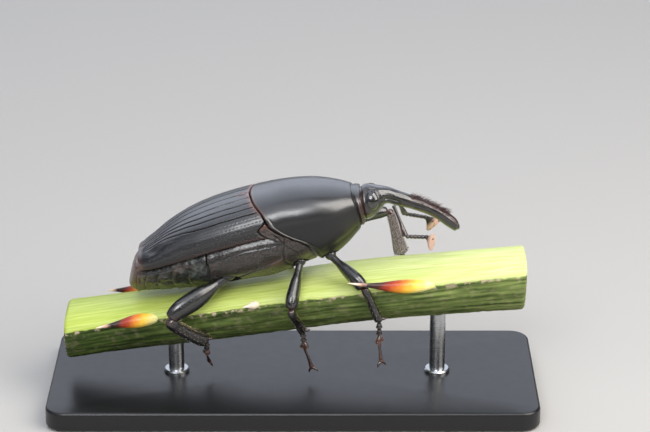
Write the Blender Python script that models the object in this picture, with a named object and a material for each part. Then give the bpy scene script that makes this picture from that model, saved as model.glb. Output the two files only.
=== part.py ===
"""South American palm weevil, a still, life-size model on a display stand.

A male weevil grips a cut length of thorny palm leaf stalk. Two rods carry the
stalk over a plain base plate. The beetle faces +X, the stalk runs along X and
the underside of the base plate is at Z = 0.

All sizes below are millimetres. MM turns them into metres.
"""

import math
import random

import bmesh
import bpy
import numpy as np
from mathutils import Matrix, Vector

MM = 0.001
GAP = 0.3  # between neighbouring solids
CHANCE = random.Random(7)

# Stand
BASE_LENGTH, BASE_WIDTH, BASE_THICK = 74.0, 30.0, 3.0
BASE_CORNER = 3.0
ROD_RADIUS = 1.2
ROD_PLACES = {"stand_rod_back": -18.0, "stand_rod_front": 22.0}
LIFT = 15.0  # height of the stage, the level that the leg joints below are measured from

# Stalk: place along X, half width, height of its two edges, height of its underside
STALK_STATIONS = (
    (-34.5, 5.6, -3.2, -9.6),
    (-24.0, 5.1, -1.6, -8.0),
    (-13.0, 5.0, -0.1, -6.7),
    (0.0, 5.5, 2.0, -4.9),
    (12.0, 5.8, 3.6, -3.3),
    (24.0, 5.3, 4.9, -2.3),
    (35.0, 5.0, 6.0, -1.6),
)
STALK_CROWN = 2.0
STALK_KEEL = 1.7  # exponent of the underside: 2 is an ellipse, 1 is a sharp keel

# Body frame: +X forward along the body, head up by BODY_PITCH
BODY_PITCH = math.radians(10)
BODY_PLACE = (-4.65, 0.0, 11.3 + LIFT)

# Trunk: place along the body, half width, top, widest level, underside
TRUNK_STATIONS = np.array((
    (-20.0, 3.2, -0.5, -1.5, -6.45),
    (-18.9, 4.1, 0.35, -1.2, -6.35),
    (-17.0, 5.35, 1.3, -0.75, -6.45),
    (-14.5, 6.2, 2.75, -0.1, -6.75),
    (-11.0, 6.95, 4.35, 0.75, -7.05),
    (-7.0, 7.4, 5.45, 1.55, -7.1),
    (-3.0, 7.5, 6.1, 2.1, -7.1),
    (1.0, 7.1, 6.55, 2.55, -7.1),
    (4.0, 6.7, 6.75, 2.9, -6.4),
    (7.0, 6.5, 6.6, 3.1, -5.6),
    (10.0, 6.0, 6.1, 3.0, -5.2),
    (12.5, 5.0, 5.4, 2.75, -3.8),
    (14.3, 3.95, 4.7, 2.7, -2.3),
    (15.8, 3.3, 4.15, 2.8, -1.0),
))
BACK_SQUARE, BELLY_SQUARE = 2.8, 2.2  # superellipse exponents above and below the widest level
TAIL_LEAN = 0.22  # how far the tail slopes back for each millimetre downwards
LEAN_FROM, LEAN_FULL = -13.0, -19.0

PLAIN_ANGLES = tuple(range(0, 181, 10))
PYGIDIUM_INSET = (0.9, 0.45)  # above and below its widest level
PYGIDIUM_PROFILE = ((1.0, 0.0), (0.97, -0.45), (0.8, -0.95), (0.45, -1.3))  # size, place behind its front

# Hind edge of the pronotum: angle from the top of the back, place along the body
PRONOTUM_HIND = np.array((
    (0, -0.7),
    (35, 0.1),
    (55, 0.9),
    (78, 1.6),
    (88, 2.1),
    (96, 3.5),
    (108, 5.8),
    (144, 7.8),
    (180, 8.0),
))
PRONOTUM_FRONT = 15.6
COLLAR_PLACE, COLLAR_HALF_WIDTH, COLLAR_DEPTH = 14.2, 0.9, 0.3
PROTHORAX_HUB = (6.0, 0.0, 1.0)  # middle of the joint between prothorax and hind body

ELYTRON_THICK = 0.8
ELYTRON_EDGE = 95.0  # angle of its lower edge
ELYTRON_HIND, ELYTRON_CORNER = -19.1, 0.45  # hind edge, and how far its outer corner is rounded off
SUTURE_GAP = 0.3
STRIA_ANGLES = (12, 24, 36, 48, 60, 73)
STRIA_DEPTH, STRIA_HALF = 0.2, 2.4
BODY_INSET = 0.3  # the hind body under the edge of the elytra
SCUTELLUM_LENGTH, SCUTELLUM_WIDTH = 2.3, 1.7

THORAX_ANGLES = (0, 12, 24, 36, 48, 60, 72, 84, 95, 103, 106, 109, 118, 128, 138, 148, 158, 169, 180)
THORAX_ROWS = (0.0, 0.2, 0.4, 0.58, 0.7, 0.74, 0.78, 0.9, 1.0)
THORAX_SUTURE_ROW, THORAX_SUTURE_ANGLE, SUTURE_DEPTH = 0.74, 106, 0.22

ABDOMEN_FRONT, ABDOMEN_HIND = -8.4, -19.2
VENTRITE_PLACES = (-11.2, -13.6, -15.7, -17.5)
VENTRITE_DEPTH = 0.3

# Centre line of head and rostrum: place along the body, height, radius
HEAD_STATIONS = (
    (15.9, 1.8, 2.6),
    (16.5, 1.75, 2.85),
    (17.3, 1.9, 2.62),
    (18.2, 2.2, 2.0),
    (19.15, 2.4, 1.38),
    (21.2, 1.45, 1.12),
    (22.7, 0.7, 1.02),
    (24.1, -0.1, 0.98),
    (25.5, -1.0, 0.95),
    (26.8, -2.05, 0.95),
    (28.0, -3.35, 0.96),
    (28.8, -4.25, 0.86),
)
ROSTRUM_ROOT = 4  # the station where the rostrum leaves the head
BRUSH_FROM, BRUSH_TO, BRUSH_ROWS = 22.6, 27.9, 12
BRUSH_ANGLES, BRUSH_STAGGER = (-52, -18, 18, 52), 17
BRUSH_LENGTH, BRUSH_SUNK, BRUSH_LEAN = 0.95, 0.4, 0.8
BRUSH_PROFILE = ((0.0, 0.36), (0.55, 0.29), (0.85, 0.14))
JAW_APART, JAW_SUNK, JAW_LENGTH = 0.38, 0.4, 1.1
JAW_PROFILE = ((0.0, 0.4), (0.5, 0.42), (0.85, 0.28))
EYE_PLACE, EYE_ANGLE = 17.1, 71.0
HEAD_CENTRE_HEIGHT, HEAD_RADIUS = 1.85, 2.66
EYE_HALF_LENGTH, EYE_HALF_WIDTH, EYE_HALF_DEPTH = 1.55, 0.8, 0.5
EYE_SUNK = 0.35

# Antennae, joints on the stage: root, elbow, root of the club, middle of its broad tip,
# then the direction along that tip
ANTENNAE = {
    "right": (
        (15.0, -1.75, 16.0),
        (16.7, -3.2, 11.6),
        (20.0, -4.1, 11.86),
        (20.7, -5.6, 11.6),
        (0.0, 0.05, 1.0),
    ),
    "left": (
        (15.2, 1.75, 15.9),
        (16.8, 3.2, 12.7),
        (20.1, 3.6, 11.95),
        (21.5, 4.1, 10.5),
        (0.64, 0.0, 0.77),
    ),
}
SCAPE_RADII = (0.3, 0.26, 0.28, 0.46, 0.42)
FUNICLE_BEADS, BEAD_PROFILE = 6, ((0.3, 0.36), (0.85, 0.34), (1.0, 0.26))
CLUB_PROFILE = ((0.0, 0.3, 0.3), (0.3, 0.55, 0.38), (0.62, 1.05, 0.5), (0.85, 1.42, 0.56), (1.0, 1.3, 0.42))

# Legs, joints on the stage: middle of the coxa, knee, ankle, bend of the foot, tip of the claws
LEGS = {
    "front_right": (
        (5.6, -2.8, 8.4),
        (10.65, -6.9, 4.9),
        (12.9, -5.4, -1.2),
        (13.0, -5.7, -4.9),
        (13.3, -5.9, -8.0),
    ),
    "front_left": (
        (5.6, 2.8, 8.4),
        (14.6, 7.4, 12.0),
        (16.5, 6.7, 5.2),
        (17.4, 7.0, 1.6),
        (18.0, 6.4, -1.4),
    ),
    "mid_right": (
        (1.1, -3.2, 7.5),
        (-0.4, -8.6, 1.9),
        (1.4, -4.1, -3.5),
        (1.7, -3.6, -6.4),
        (2.9, -3.5, -10.1),
    ),
    "mid_left": (
        (1.1, 3.2, 7.5),
        (-1.2, 9.4, 3.2),
        (1.2, 5.3, -3.0),
        (2.6, 4.4, -4.6),
        (4.6, 2.8, -6.0),
    ),
    "hind_right": (
        (-9.7, -4.2, 5.4),
        (-18.75, -9.0, 0.6),
        (-13.1, -4.9, -4.7),
        (-13.2, -3.6, -7.4),
        (-12.9, -1.4, -9.8),
    ),
    "hind_left": (
        (-9.7, 4.2, 5.4),
        (-17.6, 9.4, 1.2),
        (-12.5, 5.1, -4.5),
        (-11.0, 3.6, -6.6),
        (-8.6, 1.2, -7.6),
    ),
}
COXA_RADII = {"front": (1.3, 1.3, 1.3), "mid": (1.25, 1.25, 1.2), "hind": (1.8, 1.5, 1.25)}
FEMUR_HALF_WIDTH = {"front": 1.15, "mid": 1.0, "hind": 1.25}
FEMUR_PROFILE = ((0.0, 0.5), (0.12, 0.66), (0.35, 0.9), (0.6, 1.0), (0.82, 0.98), (1.0, 0.86))
TIBIA_HALF_WIDTH = {"front": 0.68, "mid": 0.6, "hind": 0.7}
TIBIA_PROFILE = ((0.0, 0.85), (0.25, 0.9), (0.55, 0.95), (0.85, 1.1), (0.97, 1.0))
KNEE_REACH, KNEE_WIDTH = 1.5, 0.58
TARSUS_HALF_WIDTH = 0.42
LEG_THINNING = 0.78  # a leg's thickness across its width
HOOK_LENGTH, HOOK_PROFILE = 1.1, ((0.0, 0.34), (0.4, 0.3), (0.75, 0.2))
FOOT_PROFILE = ((0.0, 0.8), (0.22, 1.15), (0.3, 0.8), (0.52, 1.15), (0.6, 0.8), (0.85, 1.2))
CLAW_JOINT_PROFILE = ((0.0, 0.85), (0.35, 0.62), (0.75, 0.72), (0.95, 0.85))
LOBE_PLACE, LOBE_LENGTH, LOBE_SPREAD = 0.7, 1.2, 1.5
LOBE_PROFILE = ((0.0, 0.4), (0.35, 0.52), (0.75, 0.46), (0.95, 0.25))
CLAW_SUNK, CLAW_AHEAD, CLAW_ASIDE = 0.3, 0.86, 0.71
CLAW_PROFILE = ((0.0, 0.24), (0.45, 0.22), (0.8, 0.14))

# Thorns: X of the root, side, root height above the edge, step from root to tip,
# bend of the middle, thickest radius
THORNS = (
    (23.6, -1, -0.2, (-15.5, -4.2, 1.7), (0.0, 0.5, -0.85), 1.05),
    (-18.4, -1, -0.1, (-11.2, -1.9, -1.2), (0.0, 0.1, 0.0), 1.05),
    (-20.6, 1, 0.5, (-8.2, 1.0, -0.2), (0.0, 0.0, 0.2), 0.75),
    (-4.6, -1, 0.1, (-3.0, -0.7, -0.35), (0.0, 0.0, 0.0), 0.6),
)
THORN_PROFILE = ((0.0, 0.25), (0.15, 0.75), (0.32, 1.0), (0.48, 0.98), (0.62, 0.7), (0.76, 0.4), (0.9, 0.22))
THORN_SUNK = 0.9


# Plain helpers

def smooth_value(xs, ys, x):
    """Cubic curve through the points (xs, ys)."""
    slopes = np.gradient(ys, xs)
    i = int(np.clip(np.searchsorted(xs, x) - 1, 0, len(xs) - 2))
    step = xs[i + 1] - xs[i]
    t = float(np.clip((x - xs[i]) / step, 0, 1))
    start = (2 * t**3 - 3 * t**2 + 1) * ys[i] + (t**3 - 2 * t**2 + t) * step * slopes[i]
    return start + (3 * t**2 - 2 * t**3) * ys[i + 1] + (t**3 - t**2) * step * slopes[i + 1]


def smooth_step(x, start, end):
    t = min(max((x - start) / (end - start), 0), 1)
    return t * t * (3 - 2 * t)


def material(name, colour, roughness, metallic=0.0):
    made = bpy.data.materials.get(name) or bpy.data.materials.new(name)
    made.use_nodes = True
    shader = made.node_tree.nodes["Principled BSDF"]
    shader.inputs["Base Color"].default_value = (*colour, 1)
    shader.inputs["Roughness"].default_value = roughness
    shader.inputs["Metallic"].default_value = metallic
    return made


def mesh_object(name, points, faces, surface, parent=None):
    """A closed solid from points in millimetres, its faces turned outwards."""
    mesh = bpy.data.meshes.new(name)
    mesh.from_pydata([tuple(c * MM for c in p) for p in points], [], faces)
    body = bmesh.new()
    body.from_mesh(mesh)
    bmesh.ops.remove_doubles(body, verts=body.verts, dist=0.002 * MM)
    bmesh.ops.dissolve_degenerate(body, edges=body.edges, dist=0.002 * MM)
    bmesh.ops.recalc_face_normals(body, faces=body.faces)
    bmesh.ops.triangulate(body, faces=body.faces)
    body.to_mesh(mesh)
    body.free()
    mesh.materials.append(surface)
    mesh.shade_smooth()
    mesh.set_sharp_from_angle(angle=math.radians(40))
    made = bpy.data.objects.new(name, mesh)
    bpy.context.scene.collection.objects.link(made)
    made.parent = parent
    return made


def loft(rings, start=None, end=None):
    """Points and faces of a solid through closed rings, each end fanned to a point."""
    count = len(rings[0])
    points = [tuple(p) for ring in rings for p in ring]
    faces = []
    for i in range(len(rings) - 1):
        for j in range(count):
            k = (j + 1) % count
            faces.append((i * count + j, i * count + k, (i + 1) * count + k, (i + 1) * count + j))
    for ring, middle, first in ((rings[0], start, 0), (rings[-1], end, (len(rings) - 1) * count)):
        if middle is None:
            middle = sum((Vector(p) for p in ring), Vector()) / count
        points.append(tuple(middle))
        faces += [(first + j, first + (j + 1) % count, len(points) - 1) for j in range(count)]
    return points, faces


def ring_about(centre, along, half_width, half_height, sides, across=Vector((0, 1, 0))):
    """An oval ring square to a direction; half_width lies along across."""
    along = Vector(along).normalized()
    wide = (across - along * across.dot(along)).normalized()
    wide, high = wide * half_width, along.cross(wide) * half_height
    turns = [2 * math.pi * j / sides for j in range(sides)]
    return [Vector(centre) + wide * math.cos(a) + high * math.sin(a) for a in turns]


def tapered_rod(path, radii, sides, flat=1.0, across=Vector((0, 1, 0))):
    """A solid that follows a path with a radius at each of its points."""
    path = [Vector(p) for p in path]
    rings = []
    for i, centre in enumerate(path):
        along = path[min(i + 1, len(path) - 1)] - path[max(i - 1, 0)]
        rings.append(ring_about(centre, along, radii[i], radii[i] * flat, sides, across))
    return loft(rings, path[0], path[-1])


def spike(root, step, bend, profile, sides, flat=1.0, across=Vector((0, 1, 0))):
    """A tapered, bent spike from root to root + step; bend moves its middle.

    profile holds pairs: share of the way to the tip, radius there.
    """
    root, step, bend = Vector(root), Vector(step), Vector(bend)
    path = [root + step * t + bend * 4 * t * (1 - t) for t, _ in profile]
    points, faces = tapered_rod(path, [radius for _, radius in profile], sides, flat, across)
    points[-1] = tuple(root + step)
    return points, faces


def apply_modifiers(body):
    """Keeps what the modifiers make, as the object's own mesh."""
    graph = bpy.context.evaluated_depsgraph_get()
    body.data = bpy.data.meshes.new_from_object(body.evaluated_get(graph))
    body.modifiers.clear()


def remove_object(body):
    mesh = body.data
    bpy.data.objects.remove(body)
    bpy.data.meshes.remove(mesh)


def keep_largest_surface(body):
    shape = bmesh.new()
    shape.from_mesh(body.data)
    shape.faces.ensure_lookup_table()
    left, islands = set(shape.faces), []
    while left:
        island, edge_faces = set(), [next(iter(left))]
        while edge_faces:
            face = edge_faces.pop()
            if face in island:
                continue
            island.add(face)
            edge_faces += [f for e in face.edges for f in e.link_faces if f not in island]
        left -= island
        islands.append(island)
    largest = max(islands, key=lambda island: sum(f.calc_area() for f in island))
    bmesh.ops.delete(shape, geom=[f for f in shape.faces if f not in largest], context="FACES")
    bmesh.ops.remove_doubles(shape, verts=shape.verts, dist=0.002 * MM)
    bmesh.ops.dissolve_degenerate(shape, edges=shape.edges, dist=0.002 * MM)
    bmesh.ops.triangulate(shape, faces=shape.faces)
    shape.to_mesh(body.data)
    shape.free()


def boolean(body, others, operation, solver="EXACT"):
    """Joins or cuts body with a collection of solids, which are then removed."""
    group = bpy.data.collections.new(body.name + "_pieces")
    bpy.context.scene.collection.children.link(group)
    for other in others:
        for home in list(other.users_collection):
            home.objects.unlink(other)
        group.objects.link(other)
    step = body.modifiers.new(operation.title(), "BOOLEAN")
    step.operation, step.operand_type, step.collection, step.solver = operation, "COLLECTION", group, solver
    apply_modifiers(body)
    for other in list(group.objects):
        remove_object(other)
    bpy.data.collections.remove(group)
    keep_largest_surface(body)


# Stand and stalk

def stalk_section(x):
    stations = np.array(STALK_STATIONS)
    return [smooth_value(stations[:, 0], stations[:, c], x) for c in (1, 2, 3)]


def make_stalk(surface):
    rings = []
    for x in np.linspace(STALK_STATIONS[0][0], STALK_STATIONS[-1][0], 13):
        half, edge, under = stalk_section(x)
        crown, keel = [], []
        for a in np.linspace(0, math.pi, 8):
            crown.append((x, half * math.cos(a), edge + STALK_CROWN * math.sin(a)))
        for a in np.linspace(math.pi, 2 * math.pi, 13)[1:-1]:
            c, s = math.cos(a), math.sin(a)
            y = math.copysign(abs(c) ** (2 / STALK_KEEL), c) * half
            keel.append((x, y, edge - (edge - under) * abs(s) ** (2 / STALK_KEEL)))
        rings.append([(px, py, pz + LIFT) for px, py, pz in crown + keel])
    stalk = mesh_object("perch_stalk", *loft(rings), surface)
    thorns = []
    for i, (x, side, rise, step, bend, radius) in enumerate(THORNS):
        half, edge, _ = stalk_section(x)
        root = Vector((x, side * (half - THORN_SUNK * radius), edge + rise + LIFT))
        profile = [(t, share * radius) for t, share in THORN_PROFILE]
        points, faces = spike(root, step, bend, profile, 8)
        thorns.append(mesh_object(f"thorn_{i}", points, faces, surface))
    boolean(stalk, thorns, "UNION")
    return stalk


def make_stand(base_surface, rod_surface):
    outline = []
    for cx, cy, start in ((1, 1, 0), (-1, 1, 90), (-1, -1, 180), (1, -1, 270)):
        for a in np.radians(np.linspace(start, start + 90, 5)):
            x = cx * (BASE_LENGTH / 2 - BASE_CORNER) + BASE_CORNER * math.cos(a)
            y = cy * (BASE_WIDTH / 2 - BASE_CORNER) + BASE_CORNER * math.sin(a)
            outline.append((x, y))
    rings = [[(x, y, z) for x, y in outline] for z in (0, BASE_THICK)]
    mesh_object("stand_base", *loft(rings), base_surface)
    for name, x in ROD_PLACES.items():
        under = stalk_section(x)[2] + LIFT
        slope = (stalk_section(x + 1)[2] - stalk_section(x - 1)[2]) / 2
        rings = []
        for top in (False, True):
            ring = []
            for a in np.radians(np.arange(0, 360, 30)):
                dx, dy = ROD_RADIUS * math.cos(a), ROD_RADIUS * math.sin(a)
                ring.append((x + dx, dy, under - GAP + dx * slope if top else BASE_THICK + GAP))
            rings.append(ring)
        mesh_object(name, *loft(rings), rod_surface)


# Trunk

def trunk_section(x):
    return [smooth_value(TRUNK_STATIONS[:, 0], TRUNK_STATIONS[:, c], x) for c in (1, 2, 3, 4)]


def trunk_point(x, degrees, side, inset=0.0):
    """A point on the trunk, or inset under it; degrees runs from the back, 0, to the belly, 180."""
    half, top, widest, under = trunk_section(x)
    angle = math.radians(degrees)
    c, s = math.cos(angle), max(math.sin(angle), 0.0)
    if c > 0:
        y = (half - inset) * s ** (2 / BACK_SQUARE)
        z = widest + (top - inset - widest) * c ** (2 / BACK_SQUARE)
    else:
        y = (half - inset) * s ** (2 / BELLY_SQUARE)
        z = widest - (widest - under - inset) * abs(c) ** (2 / BELLY_SQUARE)
    lean = TAIL_LEAN * smooth_step(x, LEAN_FROM, LEAN_FULL)
    return Vector((x + lean * min(0.0, z - widest), side * y, z))


def around(half_angles):
    """Angle and side of each point of a full ring, from the angles of its left half."""
    left = [(degrees, 1) for degrees in half_angles]
    return left + [(degrees, -1) for degrees in reversed(half_angles[1:-1])]


def trunk_ring(place_at, half_angles, inset_at):
    """A ring of the trunk; place_at and inset_at give place and inset for an angle."""
    return [trunk_point(place_at(d), d, side, inset_at(d)) for d, side in around(half_angles)]


def pronotum_hind(degrees):
    return smooth_value(PRONOTUM_HIND[:, 0], PRONOTUM_HIND[:, 1], degrees)


def hind_body_inset(degrees):
    under_elytra = ELYTRON_THICK + GAP
    bare = smooth_step(degrees, ELYTRON_EDGE, ELYTRON_EDGE + 10)
    return under_elytra + (BODY_INSET - under_elytra) * bare


def make_pronotum(surface, parent):
    rows = 11
    rings = []
    for i in range(rows):
        t = i / (rows - 1)

        def place(degrees, t=t):
            start = pronotum_hind(degrees)
            return start + (PRONOTUM_FRONT - start) * t

        def inset(degrees, place=place):
            near = abs(place(degrees) - COLLAR_PLACE)
            return COLLAR_DEPTH * max(0.0, 1 - near / COLLAR_HALF_WIDTH)

        rings.append(trunk_ring(place, PLAIN_ANGLES, inset))
    return mesh_object("pronotum", *loft(rings, start=PROTHORAX_HUB), surface, parent)


def make_elytron(name, side, surface, parent):
    angles = [0]
    for stria in STRIA_ANGLES:
        angles += [stria - STRIA_HALF, stria, stria + STRIA_HALF]
    angles += [81, 88, ELYTRON_EDGE]
    rows = 13

    def place(degrees, row):
        start = pronotum_hind(degrees) - GAP
        end = ELYTRON_HIND + ELYTRON_CORNER * smooth_step(degrees, 50, ELYTRON_EDGE)
        return start + (end - start) * row / (rows - 1)

    outer, inner = [], []
    for row in range(rows):
        for degrees in angles:
            x = place(degrees, row)
            groove = STRIA_DEPTH if degrees in STRIA_ANGLES and 0 < row < rows - 1 else 0
            for depth, layer in ((groove, outer), (ELYTRON_THICK, inner)):
                point = trunk_point(x, degrees, 1, depth)
                half = trunk_section(x)[0]
                point.y = side * (SUTURE_GAP / 2 + point.y * (half - SUTURE_GAP / 2) / half)
                layer.append(point)
    count, total = len(angles), len(outer)
    faces = []
    for row in range(rows - 1):
        for j in range(count - 1):
            a, b = row * count + j, (row + 1) * count + j
            faces += [(a, a + 1, b + 1, b), (a + total, b + total, b + 1 + total, a + 1 + total)]
    border = [(j, j + 1) for j in range(count - 1)]
    border += [((rows - 1) * count + j + 1, (rows - 1) * count + j) for j in range(count - 1)]
    border += [((row + 1) * count, row * count) for row in range(rows - 1)]
    border += [(row * count + count - 1, (row + 1) * count + count - 1) for row in range(rows - 1)]
    faces += [(b, a, a + total, b + total) for a, b in border]
    return mesh_object(name, outer + inner, faces, surface, parent)


def make_thorax(surface, parent):
    """Middle and hind thorax in one, between the prothorax and the abdomen."""
    hub = Vector(PROTHORAX_HUB) - Vector((GAP * 1.3, 0, 0))
    front = []
    for degrees, side in around(THORAX_ANGLES):
        edge = trunk_point(pronotum_hind(degrees), degrees, side) - Vector((GAP * 1.3, 0, 0))
        inset = hind_body_inset(degrees)
        reach = (edge - hub).length
        front.append(hub + (edge - hub) * (reach - inset) / reach)
    rings = []
    for t in THORAX_ROWS:

        def place(degrees, t=t):
            end = pronotum_hind(degrees) - 1.0
            return ABDOMEN_FRONT + GAP / 2 + (end - ABDOMEN_FRONT) * t

        def inset(degrees, t=t):
            across = t == THORAX_SUTURE_ROW and degrees > ELYTRON_EDGE
            lengthwise = degrees == THORAX_SUTURE_ANGLE and 0 < t < THORAX_SUTURE_ROW
            return hind_body_inset(degrees) + (SUTURE_DEPTH if across or lengthwise else 0)

        rings.append(trunk_ring(place, THORAX_ANGLES, inset))
    return mesh_object("thorax", *loft([*rings, front], end=hub), surface, parent)


def make_abdomen(surface, parent):
    places = [ABDOMEN_FRONT - GAP / 2]
    for groove in VENTRITE_PLACES:
        places += [groove + 0.35, groove, groove - 0.35]
    places.append(ABDOMEN_HIND)
    rings = []
    for x in places:

        def inset(degrees, x=x):
            groove = VENTRITE_DEPTH if x in VENTRITE_PLACES and degrees > ELYTRON_EDGE + 10 else 0
            return hind_body_inset(degrees) + groove

        rings.append(trunk_ring(lambda degrees, x=x: x, PLAIN_ANGLES, inset))
    return mesh_object("abdomen", *loft(rings), surface, parent)


def make_pygidium(surface, parent):
    """The bare last plate of the back, which closes the tail."""
    above, below = PYGIDIUM_INSET
    first = trunk_ring(lambda _: ABDOMEN_HIND - GAP, PLAIN_ANGLES, lambda d: above if d < 80 else below)
    middle = sum(first, Vector()) / len(first)
    rings = []
    for scale, back in PYGIDIUM_PROFILE:
        rings.append([middle + (p - middle) * scale + Vector((back, 0, 0)) for p in first])
    return mesh_object("pygidium", *loft(rings), surface, parent)


def shield(name, grow, rise, surface, parent):
    """The scutellum's outline as a prism, grown by grow and raised by rise."""
    front = pronotum_hind(0) - GAP
    back = front - SCUTELLUM_LENGTH
    front, shoulder, back = front + 2 * grow, front - 1.0, back - 2 * grow
    half = SCUTELLUM_WIDTH / 2 + grow
    left = [(front, half), (shoulder, half * 0.8), (back, 0.08)]
    points = []
    for depth in (-rise, ELYTRON_THICK + rise):
        for x, y in left + [(x, -y) for x, y in reversed(left)]:
            points.append((x, y, trunk_section(x)[1] - depth))
    faces = [tuple(range(6)), tuple(range(11, 5, -1))]
    faces += [(j, j + 6, (j + 1) % 6 + 6, (j + 1) % 6) for j in range(6)]
    return mesh_object(name, points, faces, surface, parent)


def make_scutellum(surface, parent):
    """Small shield between the bases of the elytra."""
    for elytron in ("elytron_left", "elytron_right"):
        boolean(bpy.data.objects[elytron], [shield("shield_cut", GAP, 0.6, surface, parent)], "DIFFERENCE")
    shield("scutellum", 0.0, 0.0, surface, parent)


# Head

def head_rings(first, last, sides):
    """Rings of head and rostrum between two stations; a thin cut parts them at the rostrum's root."""
    rings = []
    for i in range(first, last + 1):
        x, z, radius = HEAD_STATIONS[i]
        before, after = HEAD_STATIONS[max(i - 1, 0)], HEAD_STATIONS[min(i + 1, len(HEAD_STATIONS) - 1)]
        along = Vector((after[0] - before[0], 0, after[1] - before[1])).normalized()
        if i == 0:
            along = Vector((1, 0, 0))
        centre = Vector((x, 0, z))
        if i == ROSTRUM_ROOT:
            centre += along * GAP / 2 * (1 if first == ROSTRUM_ROOT else -1)
        rings.append(ring_about(centre, along, radius, radius, sides))
    return rings


def rostrum_frame(place, degrees):
    """Outward and forward directions, centre and radius of the rostrum; degrees runs from its top."""
    stations = np.array(HEAD_STATIONS)
    z, radius = (smooth_value(stations[:, 0], stations[:, c], place) for c in (1, 2))
    ahead = smooth_value(stations[:, 0], stations[:, 1], place + 0.1)
    behind = smooth_value(stations[:, 0], stations[:, 1], place - 0.1)
    along = Vector((0.2, 0, ahead - behind)).normalized()
    up = Vector((-along.z, 0, along.x))
    angle = math.radians(degrees)
    out = up * math.cos(angle) + Vector((0, 1, 0)) * math.sin(angle)
    return out, along, Vector((place, 0, z)), radius


def eye_frame(side):
    """Place and axes of an eye: forward, along its length, outward."""
    angle = math.radians(EYE_ANGLE)
    out = Vector((0.12, side * math.sin(angle), math.cos(angle))).normalized()
    length = Vector((1, 0, 0)).cross(out).normalized()
    forward = out.cross(length)
    place = Vector((EYE_PLACE, 0, HEAD_CENTRE_HEIGHT)) + out * (HEAD_RADIUS - EYE_SUNK)
    return Matrix.Translation(place) @ Matrix((forward, length, out)).transposed().to_4x4()


def eye_shape(name, side, grow, surface, parent):
    frame = eye_frame(side)
    rings = []
    for a in np.radians((18, 45, 70, 95, 120, 145, 165)):
        ring = []
        for b in np.radians(np.arange(0, 360, 30)):
            local = Vector((
                (EYE_HALF_WIDTH + grow) * math.sin(a) * math.cos(b),
                (EYE_HALF_LENGTH + grow) * math.sin(a) * math.sin(b),
                (EYE_HALF_DEPTH + grow) * math.cos(a),
            ))
            ring.append(frame @ local)
        rings.append(ring)
    poles = [frame @ Vector((0, 0, s * (EYE_HALF_DEPTH + grow))) for s in (1, -1)]
    return mesh_object(name, *loft(rings, *poles), surface, parent)


def make_head(surface, eye_surface, parent):
    head = mesh_object("head", *loft(head_rings(0, ROSTRUM_ROOT, 24)), surface, parent)
    sockets = [eye_shape(f"socket_{side}", side, GAP, surface, parent) for side in (1, -1)]
    boolean(head, sockets, "DIFFERENCE")
    for name, side in (("eye_left", 1), ("eye_right", -1)):
        eye_shape(name, side, 0.0, eye_surface, parent)
    return head


def make_rostrum(surface, parent):
    """The long snout of a male, with its jaws and the brush of bristles on top."""
    rings = head_rings(ROSTRUM_ROOT, len(HEAD_STATIONS) - 1, 14)
    rostrum = mesh_object("rostrum", *loft(rings), surface, parent)
    pieces = []
    for row in range(BRUSH_ROWS):
        share = row / (BRUSH_ROWS - 1)
        place = BRUSH_FROM + (BRUSH_TO - BRUSH_FROM) * share
        length = BRUSH_LENGTH * (0.7 + 0.5 * math.sin(math.pi * min(1.0, 0.25 + share * 0.75)))
        angles = BRUSH_ANGLES if row % 2 == 0 else [a + BRUSH_STAGGER for a in BRUSH_ANGLES[:-1]]
        for angle in angles:
            out, along, centre, radius = rostrum_frame(place, angle + CHANCE.uniform(-5, 5))
            root = centre + out * (radius - BRUSH_SUNK)
            lean = along * BRUSH_LEAN + Vector((0, CHANCE.uniform(-0.1, 0.1), 0))
            step = (out + lean).normalized() * (length * CHANCE.uniform(0.85, 1.1) + BRUSH_SUNK)
            points, faces = spike(root, step, along * 0.06, BRUSH_PROFILE, 4, 0.7)
            pieces.append(mesh_object(f"lock_{len(pieces)}", points, faces, surface, parent))
    for side in (1, -1):
        _, along, centre, radius = rostrum_frame(HEAD_STATIONS[-1][0] - 0.05, 0)
        root = centre - along * JAW_SUNK + Vector((0, side * JAW_APART, 0))
        step = along * JAW_LENGTH + Vector((0, -side * 0.15, 0))
        points, faces = spike(root, step, (0, side * 0.08, 0), JAW_PROFILE, 7, 1.2)
        pieces.append(mesh_object(f"jaw_{side}", points, faces, surface, parent))
    boolean(rostrum, pieces, "UNION")
    return rostrum


# Limbs

def joint_cut(before, joint, after, reach):
    """Middle and direction of the thin cut across a bend."""
    first = (Vector(joint) - Vector(before)).normalized()
    second = (Vector(after) - Vector(joint)).normalized()
    middle = Vector(joint) + (second - first) * reach * 0.25
    return middle, (first + second).normalized(), first, second


def coxa_reach(pair, direction):
    """Distance from the middle of a coxa to its surface."""
    return 1 / math.sqrt(sum((d / r) ** 2 for d, r in zip(direction, COXA_RADII[pair], strict=True)))


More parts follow.
